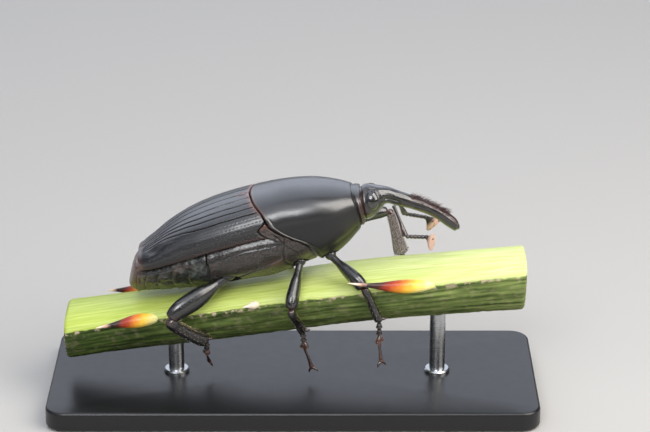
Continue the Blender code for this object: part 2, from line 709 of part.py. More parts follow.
def make_leg(name, joints, surface):
    """Femur, tibia and foot of one leg; their width lies across the plane in which it bends."""
    pair = name.split("_")[0]
    hip, knee, ankle, bend, tip = (Vector(j) + Vector((0, 0, LIFT)) for j in joints)
    normal = (knee - hip).cross(ankle - knee).normalized()
    cut, cut_along, thigh, shin = joint_cut(hip, knee, ankle, KNEE_REACH)

    def section(centre, along, half):
        return ring_about(centre, along, half * LEG_THINNING, half, 10, normal)

    # Femur: thick in its outer half
    half = FEMUR_HALF_WIDTH[pair]
    start = hip + thigh * (coxa_reach(pair, thigh) + GAP)
    end = knee - thigh * KNEE_REACH
    rings = [section(start.lerp(end, t), thigh, share * half) for t, share in FEMUR_PROFILE]
    rings.append(section(cut - cut_along * GAP / 2, cut_along, KNEE_WIDTH * half))
    mesh_object(f"femur_{name}", *loft(rings), surface)

    # Tibia: slender at the knee, wider at the foot, with a hook at its tip
    half = TIBIA_HALF_WIDTH[pair]
    start = knee + shin * KNEE_REACH * 0.8
    rings = [section(cut + cut_along * GAP / 2, cut_along, 0.8 * half)]
    rings += [section(start.lerp(ankle, t), shin, share * half) for t, share in TIBIA_PROFILE]
    tibia = mesh_object(f"tibia_{name}", *loft(rings), surface)
    forward = Vector((1, 0, 0))
    forward = (forward - shin * forward.dot(shin)).normalized()
    root = ankle - shin * 0.7 + forward * half * 0.3
    step = shin * 0.5 + forward * HOOK_LENGTH
    points, faces = spike(root, step, shin * 0.3, HOOK_PROFILE, 6, 1.0, normal)
    boolean(tibia, [mesh_object("hook", points, faces, surface)], "UNION")
    make_foot(name, (ankle + shin * GAP * 1.5, bend, tip), normal, surface)


def make_foot(name, joints, normal, surface):
    """A foot: three joints, the last of them two broad lobes, then the claw joint with two claws."""
    ankle, bend, tip = joints
    half = TARSUS_HALF_WIDTH
    path, widths = [], []
    for t, width in FOOT_PROFILE:
        path.append(ankle.lerp(bend, t))
        widths.append(width * half)
    for t, width in CLAW_JOINT_PROFILE:
        path.append(bend.lerp(tip, t))
        widths.append(width * half)
    points, faces = tapered_rod(path, widths, 8, 0.8, normal)
    foot = mesh_object(f"tarsus_{name}", points, faces, surface)
    along = (bend - ankle).normalized()
    last = (tip - bend).normalized()
    across = (normal - last * normal.dot(last)).normalized()
    pieces = []
    for side in (1, -1):
        root = ankle.lerp(bend, LOBE_PLACE)
        step = along * LOBE_LENGTH + normal * side * half * LOBE_SPREAD
        points, faces = spike(root, step, (0, 0, 0), LOBE_PROFILE, 6, 0.75, normal)
        pieces.append(mesh_object(f"lobe_{side}", points, faces, surface))
        root = tip - last * CLAW_SUNK + across * side * 0.05
        step = last * CLAW_AHEAD + across * side * CLAW_ASIDE
        points, faces = spike(root, step, across * side * 0.12, CLAW_PROFILE, 5, 1.0, normal)
        pieces.append(mesh_object(f"claw_{side}", points, faces, surface))
    boolean(foot, pieces, "UNION")


def coxa_ball(name, leg, grow, surface):
    """The rounded coxa of a leg, or with grow its socket."""
    centre = Vector(LEGS[leg][0]) + Vector((0, 0, LIFT))
    rx, ry, rz = (r + grow for r in COXA_RADII[leg.split("_")[0]])
    rings = []
    for a in np.linspace(0, math.pi, 9)[1:-1]:
        ring = []
        for b in np.radians(np.arange(0, 360, 30)):
            offset = (rx * math.sin(a) * math.cos(b), ry * math.sin(a) * math.sin(b), rz * math.cos(a))
            ring.append(centre + Vector(offset))
        rings.append(ring)
    poles = centre + Vector((0, 0, rz)), centre - Vector((0, 0, rz))
    return mesh_object(name, *loft(rings, *poles), surface)


def make_coxae(surface, carriers):
    """The coxa at the root of each leg, sunk into a socket of the body."""
    for leg in LEGS:
        coxa_ball(f"coxa_{leg}", leg, 0.0, surface)
    for carrier, pairs in carriers.items():
        legs = [leg for leg in LEGS if leg.split("_")[0] in pairs]
        sockets = [coxa_ball(f"socket_{leg}", leg, GAP, surface) for leg in legs]
        boolean(bpy.data.objects[carrier], sockets, "DIFFERENCE")


def make_antenna(side_name, joints, surface, club_surface):
    """Elbowed antenna: a long scape, a beaded funicle and a flat, broad-tipped club."""
    *joints, broad = joints
    root, elbow, knuckle, tip = (Vector(j) + Vector((0, 0, LIFT)) for j in joints)
    normal = (elbow - root).cross(knuckle - elbow).normalized()
    cut, cut_along, upper, lower = joint_cut(root, elbow, knuckle, 1.0)
    path = [root, root.lerp(elbow, 0.3), root.lerp(elbow, 0.6)]
    path += [elbow - upper * 0.9, cut - cut_along * GAP / 2]
    points, faces = tapered_rod(path, SCAPE_RADII, 8, 1.0, normal)
    mesh_object(f"antenna_scape_{side_name}", points, faces, surface)
    start = cut + cut_along * GAP / 2
    path, radii = [start], [0.28]
    for bead in range(FUNICLE_BEADS):
        for t, radius in BEAD_PROFILE:
            path.append(start.lerp(knuckle, (bead + t) / FUNICLE_BEADS))
            radii.append(radius)
    points, faces = tapered_rod(path, radii, 7, 1.0, normal)
    mesh_object(f"antenna_funicle_{side_name}", points, faces, surface)
    ahead = (tip - knuckle).normalized()
    start = knuckle + (lower + ahead).normalized() * GAP
    rings = []
    for t, half_width, half_thick in CLUB_PROFILE:
        rings.append(ring_about(start.lerp(tip, t), ahead, half_width, half_thick, 12, Vector(broad)))
    mesh_object(f"antenna_club_{side_name}", *loft(rings, end=tip + ahead * 0.2), club_surface)


def main():
    for old in list(bpy.data.objects):
        bpy.data.objects.remove(old)
    cuticle = material("black_cuticle", (0.012, 0.012, 0.014), 0.38)
    eye = material("eye", (0.01, 0.01, 0.012), 0.2)
    club = material("antenna_club", (0.35, 0.16, 0.10), 0.6)
    stalk = material("green_stalk", (0.28, 0.36, 0.09), 0.5)
    base = material("stand_base_lacquer", (0.02, 0.02, 0.02), 0.35)
    steel = material("stand_steel", (0.6, 0.6, 0.6), 0.3, 1.0)

    frame = bpy.data.objects.new("weevil_frame", None)
    bpy.context.scene.collection.objects.link(frame)
    frame.matrix_world = Matrix.Translation(Vector(BODY_PLACE) * MM) @ Matrix.Rotation(-BODY_PITCH, 4, "Y")
    bpy.context.view_layer.update()

    make_stand(base, steel)
    make_stalk(stalk)
    make_pronotum(cuticle, frame)
    make_elytron("elytron_left", 1, cuticle, frame)
    make_elytron("elytron_right", -1, cuticle, frame)
    make_scutellum(cuticle, frame)
    make_thorax(cuticle, frame)
    make_abdomen(cuticle, frame)
    make_pygidium(cuticle, frame)
    make_head(cuticle, eye, frame)
    make_rostrum(cuticle, frame)
    make_coxae(cuticle, {"pronotum": ("front",), "thorax": ("mid", "hind")})
    for name, joints in LEGS.items():
        make_leg(name, joints, cuticle)
    for side_name, joints in ANTENNAE.items():
        make_antenna(side_name, joints, cuticle, club)


main()
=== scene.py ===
# %% [markdown]
# A life-size palm weevil on a cut leaf stalk.
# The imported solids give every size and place. This file makes the surface that the eye
# sees: a black, waxy shell with grooves and pits, bristles, thorns and a plain stand.
# All shapes are worked out in millimetres with numpy and turned to metres at the end.

import math

import bpy
import numpy as np
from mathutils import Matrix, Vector


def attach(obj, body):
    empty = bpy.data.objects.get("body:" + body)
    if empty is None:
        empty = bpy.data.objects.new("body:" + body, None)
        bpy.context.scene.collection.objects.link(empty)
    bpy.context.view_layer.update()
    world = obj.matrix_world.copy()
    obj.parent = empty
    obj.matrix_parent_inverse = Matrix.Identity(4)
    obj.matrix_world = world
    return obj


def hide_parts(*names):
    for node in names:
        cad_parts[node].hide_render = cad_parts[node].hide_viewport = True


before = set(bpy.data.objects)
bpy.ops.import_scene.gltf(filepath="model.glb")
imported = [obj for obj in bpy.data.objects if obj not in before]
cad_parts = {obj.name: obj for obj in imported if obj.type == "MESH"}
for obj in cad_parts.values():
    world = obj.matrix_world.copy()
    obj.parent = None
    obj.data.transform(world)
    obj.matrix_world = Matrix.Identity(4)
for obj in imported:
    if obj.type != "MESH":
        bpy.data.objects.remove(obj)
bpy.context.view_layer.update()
MM = 0.001

# %% [markdown]
# The body of a beetle is a rounded tube that changes its section from place to place.
# A table of stations along the body with a smooth curve through it holds such a form
# best: a few numbers that can be read, and any fineness of mesh from them. The same
# table shapes the solids, so the fine skin lies exactly where they are.

# %% Named sizes of the trunk
LIFT = 15.0  # height of the stage that leg joints are measured from
BODY_PITCH = math.radians(10)
BODY_PLACE = np.array((-4.65, 0.0, 11.3 + LIFT))

# Place along the body, half width, top, widest level, underside
TRUNK = ((-20.0, 3.2, -0.5, -1.5, -6.45), (-18.9, 4.1, 0.35, -1.2, -6.35), (-17.0, 5.35, 1.3, -0.75, -6.45),
    (-14.5, 6.2, 2.75, -0.1, -6.75), (-11.0, 6.95, 4.35, 0.75, -7.05), (-7.0, 7.4, 5.45, 1.55, -7.1),
    (-3.0, 7.5, 6.1, 2.1, -7.1), (1.0, 7.1, 6.55, 2.3, -7.1), (4.0, 6.75, 6.75, 2.3, -6.4),
    (7.0, 6.55, 6.6, 2.3, -5.6), (10.0, 6.05, 6.1, 2.2, -5.2), (12.5, 5.05, 5.4, 2.2, -3.8),
    (14.3, 3.95, 4.7, 2.3, -2.3), (15.8, 3.3, 4.15, 2.4, -1.0))
BACK_SQUARE, BELLY_SQUARE = 2.5, 2.15
TAIL_LEAN, LEAN_FROM, LEAN_FULL = 0.22, -13.0, -19.0

# Hind edge of the pronotum: angle from the top of the back, place along the body
PRONOTUM_HIND = ((0, -0.7), (35, 0.1), (55, 0.9), (78, 1.6), (88, 2.1), (96, 3.5), (108, 5.8), (144, 7.8),
    (180, 8.0))
PRONOTUM_FRONT = 15.6
ELYTRON_THICK, ELYTRON_EDGE = 0.8, 95.0
ELYTRON_HIND, ELYTRON_CORNER = -19.1, 0.45
BODY_INSET = 0.3
ABDOMEN_FRONT, ABDOMEN_HIND = -8.4, -19.2
GAP = 0.3


# %% Smooth curves and the trunk's surface
def smooth_curve(stations, column, at):
    """Cubic curve through one column of a table of stations, read at many places."""
    table = np.array(stations, float)
    xs, ys = table[:, 0], table[:, column]
    slopes = np.gradient(ys, xs)
    at = np.clip(np.asarray(at, float), xs[0], xs[-1])
    i = np.clip(np.searchsorted(xs, at) - 1, 0, len(xs) - 2)
    step = xs[i + 1] - xs[i]
    t = (at - xs[i]) / step
    start = (2 * t**3 - 3 * t**2 + 1) * ys[i] + (t**3 - 2 * t**2 + t) * step * slopes[i]
    return start + (3 * t**2 - 2 * t**3) * ys[i + 1] + (t**3 - t**2) * step * slopes[i + 1]


def smooth_step(x, start, end):
    t = np.clip((np.asarray(x, float) - start) / (end - start), 0, 1)
    return t * t * (3 - 2 * t)


def hump(x, middle, width):
    """A soft bump of height 1."""
    return np.exp(-(((np.asarray(x, float) - middle) / width) ** 2))


def trunk(place, angle, lift=0.0):
    """Points on the trunk raised by lift; angle is 0 on the back, 180 below, and its sign is the side."""
    place, angle, lift = np.broadcast_arrays(np.asarray(place, float), np.asarray(angle, float), lift)
    half, top, widest, under = (smooth_curve(TRUNK, column, place) for column in (1, 2, 3, 4))
    cosine, sine = np.cos(np.radians(angle)), np.abs(np.sin(np.radians(angle)))
    back = cosine > 0
    power = np.where(back, 2 / BACK_SQUARE, 2 / BELLY_SQUARE)
    reach = np.abs(cosine) ** power
    y = np.sign(angle) * (half + lift) * sine**power
    z = np.where(back, widest + (top + lift - widest) * reach, widest - (widest - under + lift) * reach)
    lean = TAIL_LEAN * smooth_step(place, LEAN_FROM, LEAN_FULL)
    return np.stack([place + lean * np.minimum(0, z - widest), y, z], -1)


def both_sides(*spans):
    """Angles all round the body from spans of start, end and count on one side, finer where it matters."""
    half = np.concatenate([np.linspace(*span) for span in spans])
    return np.concatenate([half, -half[-2:0:-1]])[None, :]


def body_to_world(points):
    """From the pitched frame of the body to the world, both in millimetres."""
    x, y, z = points[..., 0], points[..., 1], points[..., 2]
    cosine, sine = math.cos(BODY_PITCH), math.sin(BODY_PITCH)
    return np.stack([x * cosine - z * sine, y, x * sine + z * cosine], -1) + BODY_PLACE


print("trunk at the middle of the elytra:", np.round(body_to_world(trunk(-7, 60)), 1))

# %% [markdown]
# Every hard plate is a grid of points bent over the body. Rows run along the body and
# columns run round it, so a groove or a rim is one formula in the two directions.
# Numbers such as "how near is the rim" are kept on the points, where the finish can
# read them. The signed volume shows if a closed grid is inside out, and turns it.


# %% Grids to pieces
def grid_faces(rows, columns, ring):
    index = np.arange(rows * columns).reshape(rows, columns)
    after = np.roll(index, -1, axis=1)
    if not ring:
        index, after = index[:, :-1], after[:, :-1]
    quads = np.stack([index[:-1], after[:-1], after[1:], index[1:]], -1)
    return quads.reshape(-1, 4).tolist()


def shown(name, mesh):
    """An object for a mesh, at the origin and in the scene."""
    made = bpy.data.objects.new(name, mesh)
    bpy.context.scene.collection.objects.link(made)
    return made


def piece_from(name, points, faces, finish, marks=None, sharp=50.0):
    """A piece from points in world millimetres; marks are numbers kept on its points."""
    points = np.asarray(points, float)
    mesh = bpy.data.meshes.new(name)
    mesh.from_pydata((points * MM).tolist(), [], faces)
    mesh.update()
    mesh.calc_loop_triangles()
    corners = np.array([t.vertices[:] for t in mesh.loop_triangles])
    a, b, c = points[corners[:, 0]], points[corners[:, 1]], points[corners[:, 2]]
    if np.einsum("ij,ij->i", a, np.cross(b, c)).sum() < 0:
        mesh.flip_normals()
    for mark, values in (marks or {}).items():
        values = np.asarray(values, np.float32)
        kind = "FLOAT" if values.ndim == 1 else "FLOAT_VECTOR"
        mesh.attributes.new(mark, kind, "POINT").data.foreach_set("value" if kind == "FLOAT" else "vector",
            values.ravel())
    mesh.materials.append(finish)
    mesh.shade_smooth()
    mesh.set_sharp_from_angle(angle=math.radians(sharp))
    return shown(name, mesh)


def ring_piece(name, grid, finish, marks=None, sharp=50.0):
    """A closed piece from a grid whose columns close into rings; both ends are fanned shut."""
    rows, columns = grid.shape[:2]
    points = grid.reshape(-1, 3)
    faces = grid_faces(rows, columns, True)
    for row, middle in ((0, grid[0].mean(0)), (rows - 1, grid[-1].mean(0))):
        centre = len(points)
        points = np.vstack([points, middle])
        first = row * columns
        fan = [(first + j, first + (j + 1) % columns, centre) for j in range(columns)]
        faces += fan if row else [(b, a, c) for a, b, c in fan]
    flat = {}
    for mark, values in (marks or {}).items():
        values = np.broadcast_to(values, (rows, columns)) if np.ndim(values) < 3 else values
        ends = np.stack([values[0].mean(0), values[-1].mean(0)])
        flat[mark] = np.concatenate([values.reshape(rows * columns, *values.shape[2:]), ends])
    return piece_from(name, points, faces, finish, flat, sharp)


def keep(piece, slot, *nodes):
    """The piece rides on the one body and stands for its solids; slot is not used."""
    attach(piece, "root")
    if nodes:
        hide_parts(*nodes)
    piece.data.calc_loop_triangles()
    print(f"{piece.name}: {len(piece.data.loop_triangles)} triangles")
    return piece


# %% [markdown]
# Finishes. A beetle's shell is chitin: many thin layers under a waxy skin, black here
# because of dark pigment. Its index of refraction is about 1.56. The wax gives a soft,
# broad shine, and pits of a tenth of a millimetre break it up. At this picture's scale
# one pixel is 0.15 mm, so the pits are drawn 0.28 mm and more apart to show at all.


# %% Colour and node helpers
def colour(text):
    """sRGB hex to the linear colour that shaders use."""
    channels = [int(text[i : i + 2], 16) / 255 for i in (1, 3, 5)]
    return (*[c / 12.92 if c <= 0.04045 else ((c + 0.055) / 1.055) ** 2.4 for c in channels], 1.0)


def socket(sockets, name):
    """The socket of that name, or the first one in use where no name is given."""
    return next(s for s in sockets if s.enabled and name in (None, s.name, s.identifier))


def fill(tree, node, inputs):
    """Gives inputs a plain value, or a link from a node, or from a node and one of its outputs."""
    for name, value in inputs.items():
        source, output = value if isinstance(value, tuple) and len(value) == 2 else (value, None)
        if isinstance(source, bpy.types.Node):
            tree.links.new(socket(source.outputs, output), socket(node.inputs, name))
        else:
            socket(node.inputs, name).default_value = value


def add_node(tree, kind, inputs=None, **settings):
    """One node with its settings and its inputs."""
    made = tree.nodes.new(kind)
    for key, value in settings.items():
        setattr(made, key, value)
    fill(tree, made, inputs or {})
    return made


def per_mm(size):
    """The scale of a pattern whose features are size millimetres apart."""
    return 1 / (size * MM)


def set_stops(node, stops):
    """Gives a colour ramp its stops, each a place and a hex colour."""
    ramp = node.color_ramp
    for place, _ in stops[2:]:
        ramp.elements.new(place)
    for element, (place, shade) in zip(ramp.elements, stops, strict=True):
        element.position, element.color = place, colour(shade)


def new_finish(name, base, roughness, ior=1.5, metallic=0.0):
    made = bpy.data.materials.new(name)
    made.use_nodes = True
    tree = made.node_tree
    shader = tree.nodes["Principled BSDF"]
    fill(tree, shader, {"Base Color": colour(base), "Roughness": roughness, "IOR": ior, "Metallic": metallic})
    return made, tree, shader


CHITIN_IOR = 1.56
THIN_RIM = "#6a463c"  # reddish brown where the black layer thins out


# %% [markdown]
# The shell plates differ in how coarse their pits are, how brown they show and how
# dull they are, so one function makes the whole family from those real values. Brown
# shows at rims, where the black layer is thin. Grooves, sockets and other hollows are
# painted almost black as painted shade, and made duller.


# %% The waxy black shell
def shell_finish(name, base, brown, shine, pit_apart, pit_deep, brown_share, grain_deep=0.006, wax=0.9,
    crest_tone_and_reflection=None, rubbed=False, wax_dull=0.18):
    """Black chitin: pits pit_apart and pit_deep in mm, roughness from shine[0] to shine[1].

    crest is the colour of the ridges between the pits, where it shows. A rubbed shell loses its wax
    where the mark "worn" is 1."""
    made, tree, shader = new_finish(name, base, shine[0], CHITIN_IOR)
    fill(tree, shader, {"Coat Weight": wax, "Coat Roughness": wax_dull, "Coat IOR": 1.55})
    place = add_node(tree, "ShaderNodeTexCoord")
    spot = (place, "Object")
    clouds = add_node(tree, "ShaderNodeTexNoise", {"Scale": per_mm(2.5), "Detail": 4.0, "Vector": spot})
    rim = add_node(tree, "ShaderNodeAttribute", attribute_name="rim")
    painted_shade = add_node(tree, "ShaderNodeAttribute", attribute_name="painted_shade")
    brownness = add_node(tree, "ShaderNodeMapRange", {"From Min": 0.6 - brown_share * 0.3, "From Max": 0.8,
        "To Max": min(1.0, brown_share * 1.6), "Value": clouds})
    mottled = add_node(tree, "ShaderNodeMix", {"A_Color": colour(base), "B_Color": colour(brown),
        "Factor_Float": brownness}, data_type="RGBA")
    if rubbed:
        worn = add_node(tree, "ShaderNodeAttribute", attribute_name="worn")
        left = add_node(tree, "ShaderNodeMapRange", {"To Min": wax, "To Max": 0.05, "Value": (worn, "Fac")})
        fill(tree, shader, {"Coat Weight": left})
    pits = add_node(tree, "ShaderNodeTexVoronoi", {"Scale": per_mm(pit_apart), "Vector": spot})
    floor = add_node(tree, "ShaderNodeMapRange", {"From Min": 0.08, "From Max": 0.38, "Value": pits})
    # Where a crest colour is given, the pits are painted near black as painted shade, and the ridges take
    # that colour: partly their own tone, partly painted reflection
    if crest_tone_and_reflection:
        speckled = add_node(tree, "ShaderNodeMix", {"A_Color": colour("#060505"), "Factor_Float": floor,
            "B_Color": mottled}, data_type="RGBA")
        high = add_node(tree, "ShaderNodeMapRange", {"From Min": 0.5, "From Max": 0.68, "Value": pits})
        mottled = add_node(tree, "ShaderNodeMix", {"B_Color": colour(crest_tone_and_reflection), "Factor_Float": high,
            "A_Color": speckled}, data_type="RGBA")
    dark = add_node(tree, "ShaderNodeMix", {"B_Color": colour(THIN_RIM), "Factor_Float": (rim, "Fac"),
        "A_Color": mottled}, data_type="RGBA")
    # Grooves and hollows are painted almost black here: painted shade
    deep = add_node(tree, "ShaderNodeMix", {"B_Color": colour("#050505"), "Factor_Float": (painted_shade, "Fac"),
        "A_Color": dark}, data_type="RGBA")
    fill(tree, shader, {"Base Color": deep})
    haze = add_node(tree, "ShaderNodeTexNoise", {"Scale": per_mm(1.3), "Detail": 5.0, "Vector": spot})
    dull = add_node(tree, "ShaderNodeMapRange", {"From Min": 0.3, "From Max": 0.7, "To Min": shine[0],
        "To Max": shine[1], "Value": haze})
    rough = add_node(tree, "ShaderNodeMath", {"Value_001": 0.35, "Value": (painted_shade, "Fac"), "Value_002": dull},
        operation="MULTIPLY_ADD")
    fill(tree, shader, {"Roughness": rough})
    grain = add_node(tree, "ShaderNodeTexNoise", {"Scale": per_mm(0.35), "Detail": 3.0, "Vector": spot})
    fine = add_node(tree, "ShaderNodeBump", {"Distance": grain_deep * MM, "Strength": 1.0, "Height": grain})
    bump = add_node(tree, "ShaderNodeBump", {"Distance": pit_deep * MM, "Strength": 1.0, "Height": floor,
        "Normal": fine})
    fill(tree, shader, {"Normal": bump})
    return made


# Shield: almost smooth under full wax, so it carries one broad, soft sheen
SHIELD = shell_finish("waxy_shield_chitin", "#0a0b0d", "#2c1710", (0.3, 0.4), 0.34, 0.012, 0.0, wax=1.0,
    rubbed=True, wax_dull=0.29)
# Wing cases: a little duller, with shallow pits that spread the sheen
WING_CASE = shell_finish("pitted_wing_case_chitin", "#0b0c10", "#2a150d", (0.36, 0.48), 0.34, 0.09, 0.03,
    wax=1.0, rubbed=True, wax_dull=0.28)
# Side plates: coarse, deep pits painted dark as shade, with paler crests that are partly their own brown and
# partly painted glints, so they look dry and rough
SIDE_PLATE = shell_finish("coarse_side_plate_chitin", "#0a0808", "#33241f", (0.26, 0.42), 0.32, 0.15, 0.2,
    0.03, 0.6, crest_tone_and_reflection="#3d332f", wax_dull=0.22)
# Belly and tail: wide pits under thin wax; the greenish crests are a painted reflection of the green stalk
BELLY_PLATE = shell_finish("belly_plate_chitin", "#0b0d0c", "#33241b", (0.3, 0.46), 0.5, 0.12, 0.4, 0.04, 0.7,
    crest_tone_and_reflection="#39443f", wax_dull=0.22)
# Snout: polished, so its lights are narrow and hard
SNOUT = shell_finish("snout_chitin", "#0a0a0b", "#2f1712", (0.2, 0.3), 0.32, 0.016, 0.1, wax=1.0)
# Legs: glossy with fine pits; the shins are rougher, for bristles stand in their pits
LEG = shell_finish("leg_chitin", "#0a0a0c", "#2c150d", (0.24, 0.36), 0.28, 0.045, 0.05)
SHIN = shell_finish("bristly_shin_chitin", "#0b0a0b", "#2c150d", (0.16, 0.28), 0.42, 0.12, 0.08, 0.01)
# Feet: thin layers of chitin, through which brown shows. Feelers: dark red chitin whose pale pinkish-brown
# mottling is partly painted highlight
FOOT = shell_finish("foot_chitin", "#0e0706", "#44190f", (0.16, 0.3), 0.34, 0.07, 0.4)
FEELER = shell_finish("antenna_chitin", "#140d0b", "#6b5348", (0.14, 0.22), 0.3, 0.008, 0.35)
print("shell finishes:", [m.name for m in bpy.data.materials])


# %% [markdown]
# Bristles are dull, slightly see-through keratin-like chitin. Their roots are dark and
# their tips lighter, which the mark "reach", 0 at the root and 1 at the tip, tells.


# %% Bristle and eye finishes
def bristle_finish(name, root, tip, roughness):
    made, tree, shader = new_finish(name, root, roughness, CHITIN_IOR)
    reach = add_node(tree, "ShaderNodeAttribute", attribute_name="reach")
    shade = add_node(tree, "ShaderNodeMix", {"A_Color": colour(root), "B_Color": colour(tip),
        "Factor_Float": (reach, "Fac")}, data_type="RGBA")
    fill(tree, shader, {"Base Color": shade})
    return made


# Dull bristles, lighter to the tip, give a soft edge against the glossy shell
BRUSH_HAIR = bristle_finish("brush_bristle", "#0c0403", "#4c2216", 0.42)
PALE_HAIR = bristle_finish("golden_bristle", "#6b4a2a", "#d9c79e", 0.55)
PAD_HAIR = bristle_finish("sole_bristle", "#3a170d", "#a0683f", 0.6)
SHIN_DOWN = bristle_finish("pale_shin_down", "#a59a97", "#efeae8", 0.6)
# The outer skin of the eye is clear and hard, so it shows the smallest, brightest lights
EYE, tree, shader = new_finish("faceted_eye_cornea", "#08080a", 0.12, 1.6)
fill(tree, shader, {"Coat Weight": 1.0, "Coat Roughness": 0.08, "Coat IOR": 1.7})
print("bristle finishes:", BRUSH_HAIR.name, PALE_HAIR.name, PAD_HAIR.name)

# %% [markdown]
# The shield behind the head, the pronotum, is one plate that wraps the whole fore body.
# Near the head it narrows to a collar. Its hind rim sweeps down and forward. A rounded
# rim catches a thin line of light, so the last 0.25 mm of the plate curls under.


# %% Coxa sockets shared by the plates
# Legs, joints on the stage: middle of the coxa, knee, ankle, bend of the foot, tip of the claws
LEGS = {"front_right": ((5.6, -2.8, 8.4), (10.65, -6.9, 4.9), (12.9, -5.4, -1.2), (13.0, -5.7, -4.9),
    (13.3, -5.9, -8.0)), "front_left": ((5.6, 2.8, 8.4), (14.6, 7.4, 12.0), (16.5, 6.7, 5.2),
    (17.4, 7.0, 1.6), (18.0, 6.4, -1.4)), "mid_right": ((1.1, -3.2, 7.5), (-0.4, -8.6, 1.9),
    (1.4, -4.1, -3.5), (1.7, -3.6, -6.4), (2.9, -3.5, -10.1)),
    "mid_left": ((1.1, 3.2, 7.5), (-1.2, 9.4, 3.2), (1.2, 5.3, -3.0), (2.4, 4.7, -4.2), (4.4, 3.1, -4.9)),
    "hind_right": ((-9.7, -4.2, 5.4), (-18.75, -9.0, 0.6), (-13.1, -4.9, -4.7), (-13.2, -3.6, -7.4),
    (-12.9, -1.4, -9.8)), "hind_left": ((-9.7, 4.2, 5.4), (-17.6, 9.4, 1.2), (-12.5, 5.1, -4.5),
    (-11.2, 4.0, -6.1), (-9.0, 2.2, -6.5))}
COXA_RADII = {"front": (1.3, 1.3, 1.3), "mid": (1.25, 1.25, 1.2), "hind": (1.8, 1.5, 1.25)}
SOCKET_ROOM = 0.16


def sink_sockets(points, middle):
    """Pushes the points of a plate out of the way of each coxa, towards middle; tells how deep."""
    points = points.copy()
    depth = np.zeros(points.shape[:-1])
    inwards = middle - points
    inwards /= np.linalg.norm(inwards, axis=-1, keepdims=True)
    for leg, joints in LEGS.items():
        radii = np.array(COXA_RADII[leg.split("_")[0]]) + SOCKET_ROOM
        offset = (points - (np.array(joints[0]) + (0, 0, LIFT))) / radii
        step = inwards / radii
        a = (step**2).sum(-1)
        b = (offset * step).sum(-1)
        c = (offset**2).sum(-1) - 1
        inside = c < 0
        push = np.where(inside, (-b + np.sqrt(np.maximum(b * b - a * c, 0))) / a, 0)
        points += inwards * push[..., None]
        depth += push
    return points, depth


# %% The pronotum
ROUND_RIM = 0.25
COLLAR_PLACE, COLLAR_SLANT = 14.35, 0.0055
COLLAR_WIDTH, COLLAR_DEEP = 0.14, 0.24


def curl(distance, radius=ROUND_RIM):
    """How far a plate's rounded rim curls inwards, by distance from its edge."""
    near = np.clip(1 - np.asarray(distance, float) / radius, 0, 1)
    return radius * (1 - np.sqrt(1 - near**2))


def ripple(place, angle, seed, size):
    """Faint unevenness of a grown surface, about -1 to 1."""
    chance = np.random.default_rng(seed)
    total = np.zeros(np.broadcast(place, angle).shape)
    for _ in range(9):
        turn, phase, fine = chance.uniform(0, 2 * np.pi), chance.uniform(0, 2 * np.pi), chance.uniform(0.6,
            1.6)
        total += np.sin((place * np.cos(turn) + angle * 0.12 * np.sin(
            turn)) * fine * 2 * np.pi / size + phase)
    return total / 4


rows, columns = 130, 264
share = np.linspace(0, 1, rows)
share = (share - 0.06 * np.sin(2 * np.pi * share))[:, None]
angle = np.linspace(-180, 180, columns, endpoint=False)[None, :]
hind = smooth_curve(PRONOTUM_HIND, 1, np.abs(angle))
place = hind + (PRONOTUM_FRONT - hind) * share
from_hind, from_front = place - hind, PRONOTUM_FRONT - place
collar = COLLAR_PLACE + COLLAR_SLANT * np.minimum(np.abs(angle), 110)
fold = 0.07 * hump(place, collar + 0.36, 0.12) + 0.07 * hump(place, collar + 0.74, 0.12)
lift = -COLLAR_DEEP * hump(place, collar, COLLAR_WIDTH) * (0.35 + 0.65 * smooth_step(np.abs(angle), 15, 45))
lift = lift - 0.1 * hump(place, collar + 0.25, 0.5)
lift = lift - curl(from_hind) - curl(from_front, 0.2) + fold + 0.022 * ripple(place, angle, 3, 6.0)
bead = hump(from_hind, 0.42, 0.1) * smooth_step(np.abs(angle), 60, 80)
lift = lift + 0.09 * bead - 0.07 * hump(from_hind, 0.68, 0.12) * smooth_step(np.abs(angle), 60, 80)
lift = lift - 0.12 * hump(np.abs(angle), 128, 5) * smooth_step(place, 8.5, 10.5) * smooth_step(-place, -15,
    -14)
skin = body_to_world(trunk(place, angle, lift))
skin, depth = sink_sockets(skin, body_to_world(np.array((6.0, 0.0, 1.5))))
hub = body_to_world(np.array((6.0, 0.0, 1.0)))
inner = hub + (skin[:1] - hub) * 0.8
front_hub = body_to_world(np.array((15.2, 0.0, 1.8)))
front_inner = front_hub + (skin[-1:] - front_hub) * 0.7
rim = (0.1 + 0.6 * smooth_step(-np.abs(angle), -80, -50)) * hump(from_hind, 0.0, 0.3)
rim = rim + 6 * fold * smooth_step(np.abs(angle), 30, 60)
worn = smooth_step(np.abs(angle), 76, 92) + 0 * place
# The coxa sockets, the collar's crease and the closing caps inside are painted dark: painted shade
painted_shade = np.clip(depth / 0.4 + 0.9 * hump(place, collar, 0.12) * smooth_step(np.abs(angle), 15, 45), 0, 1)
grid = np.concatenate([inner, skin, front_inner])
marks = {"rim": np.concatenate([rim[:1], rim, rim[-1:]]), "painted_shade": np.concatenate([np.ones((1, columns)),
    painted_shade, np.ones((1, columns))]), "worn": np.concatenate([worn[:1], worn, worn[-1:]])}
pronotum = ring_piece("fore_body_shield", grid, SHIELD, marks)
keep(pronotum, "black_cuticle", "pronotum")

# %% [markdown]
# The wing cases, or elytra, are hard covers with lengthwise grooves, the striae. Here
# the four next to the seam are deep and the four outer ones shallow. Each case is a
# closed shell: a fine outer face, a plain inner face, and strips that join them at the
# ends. Low on the sides the wax is rubbed off, which the mark "worn" tells the finish.

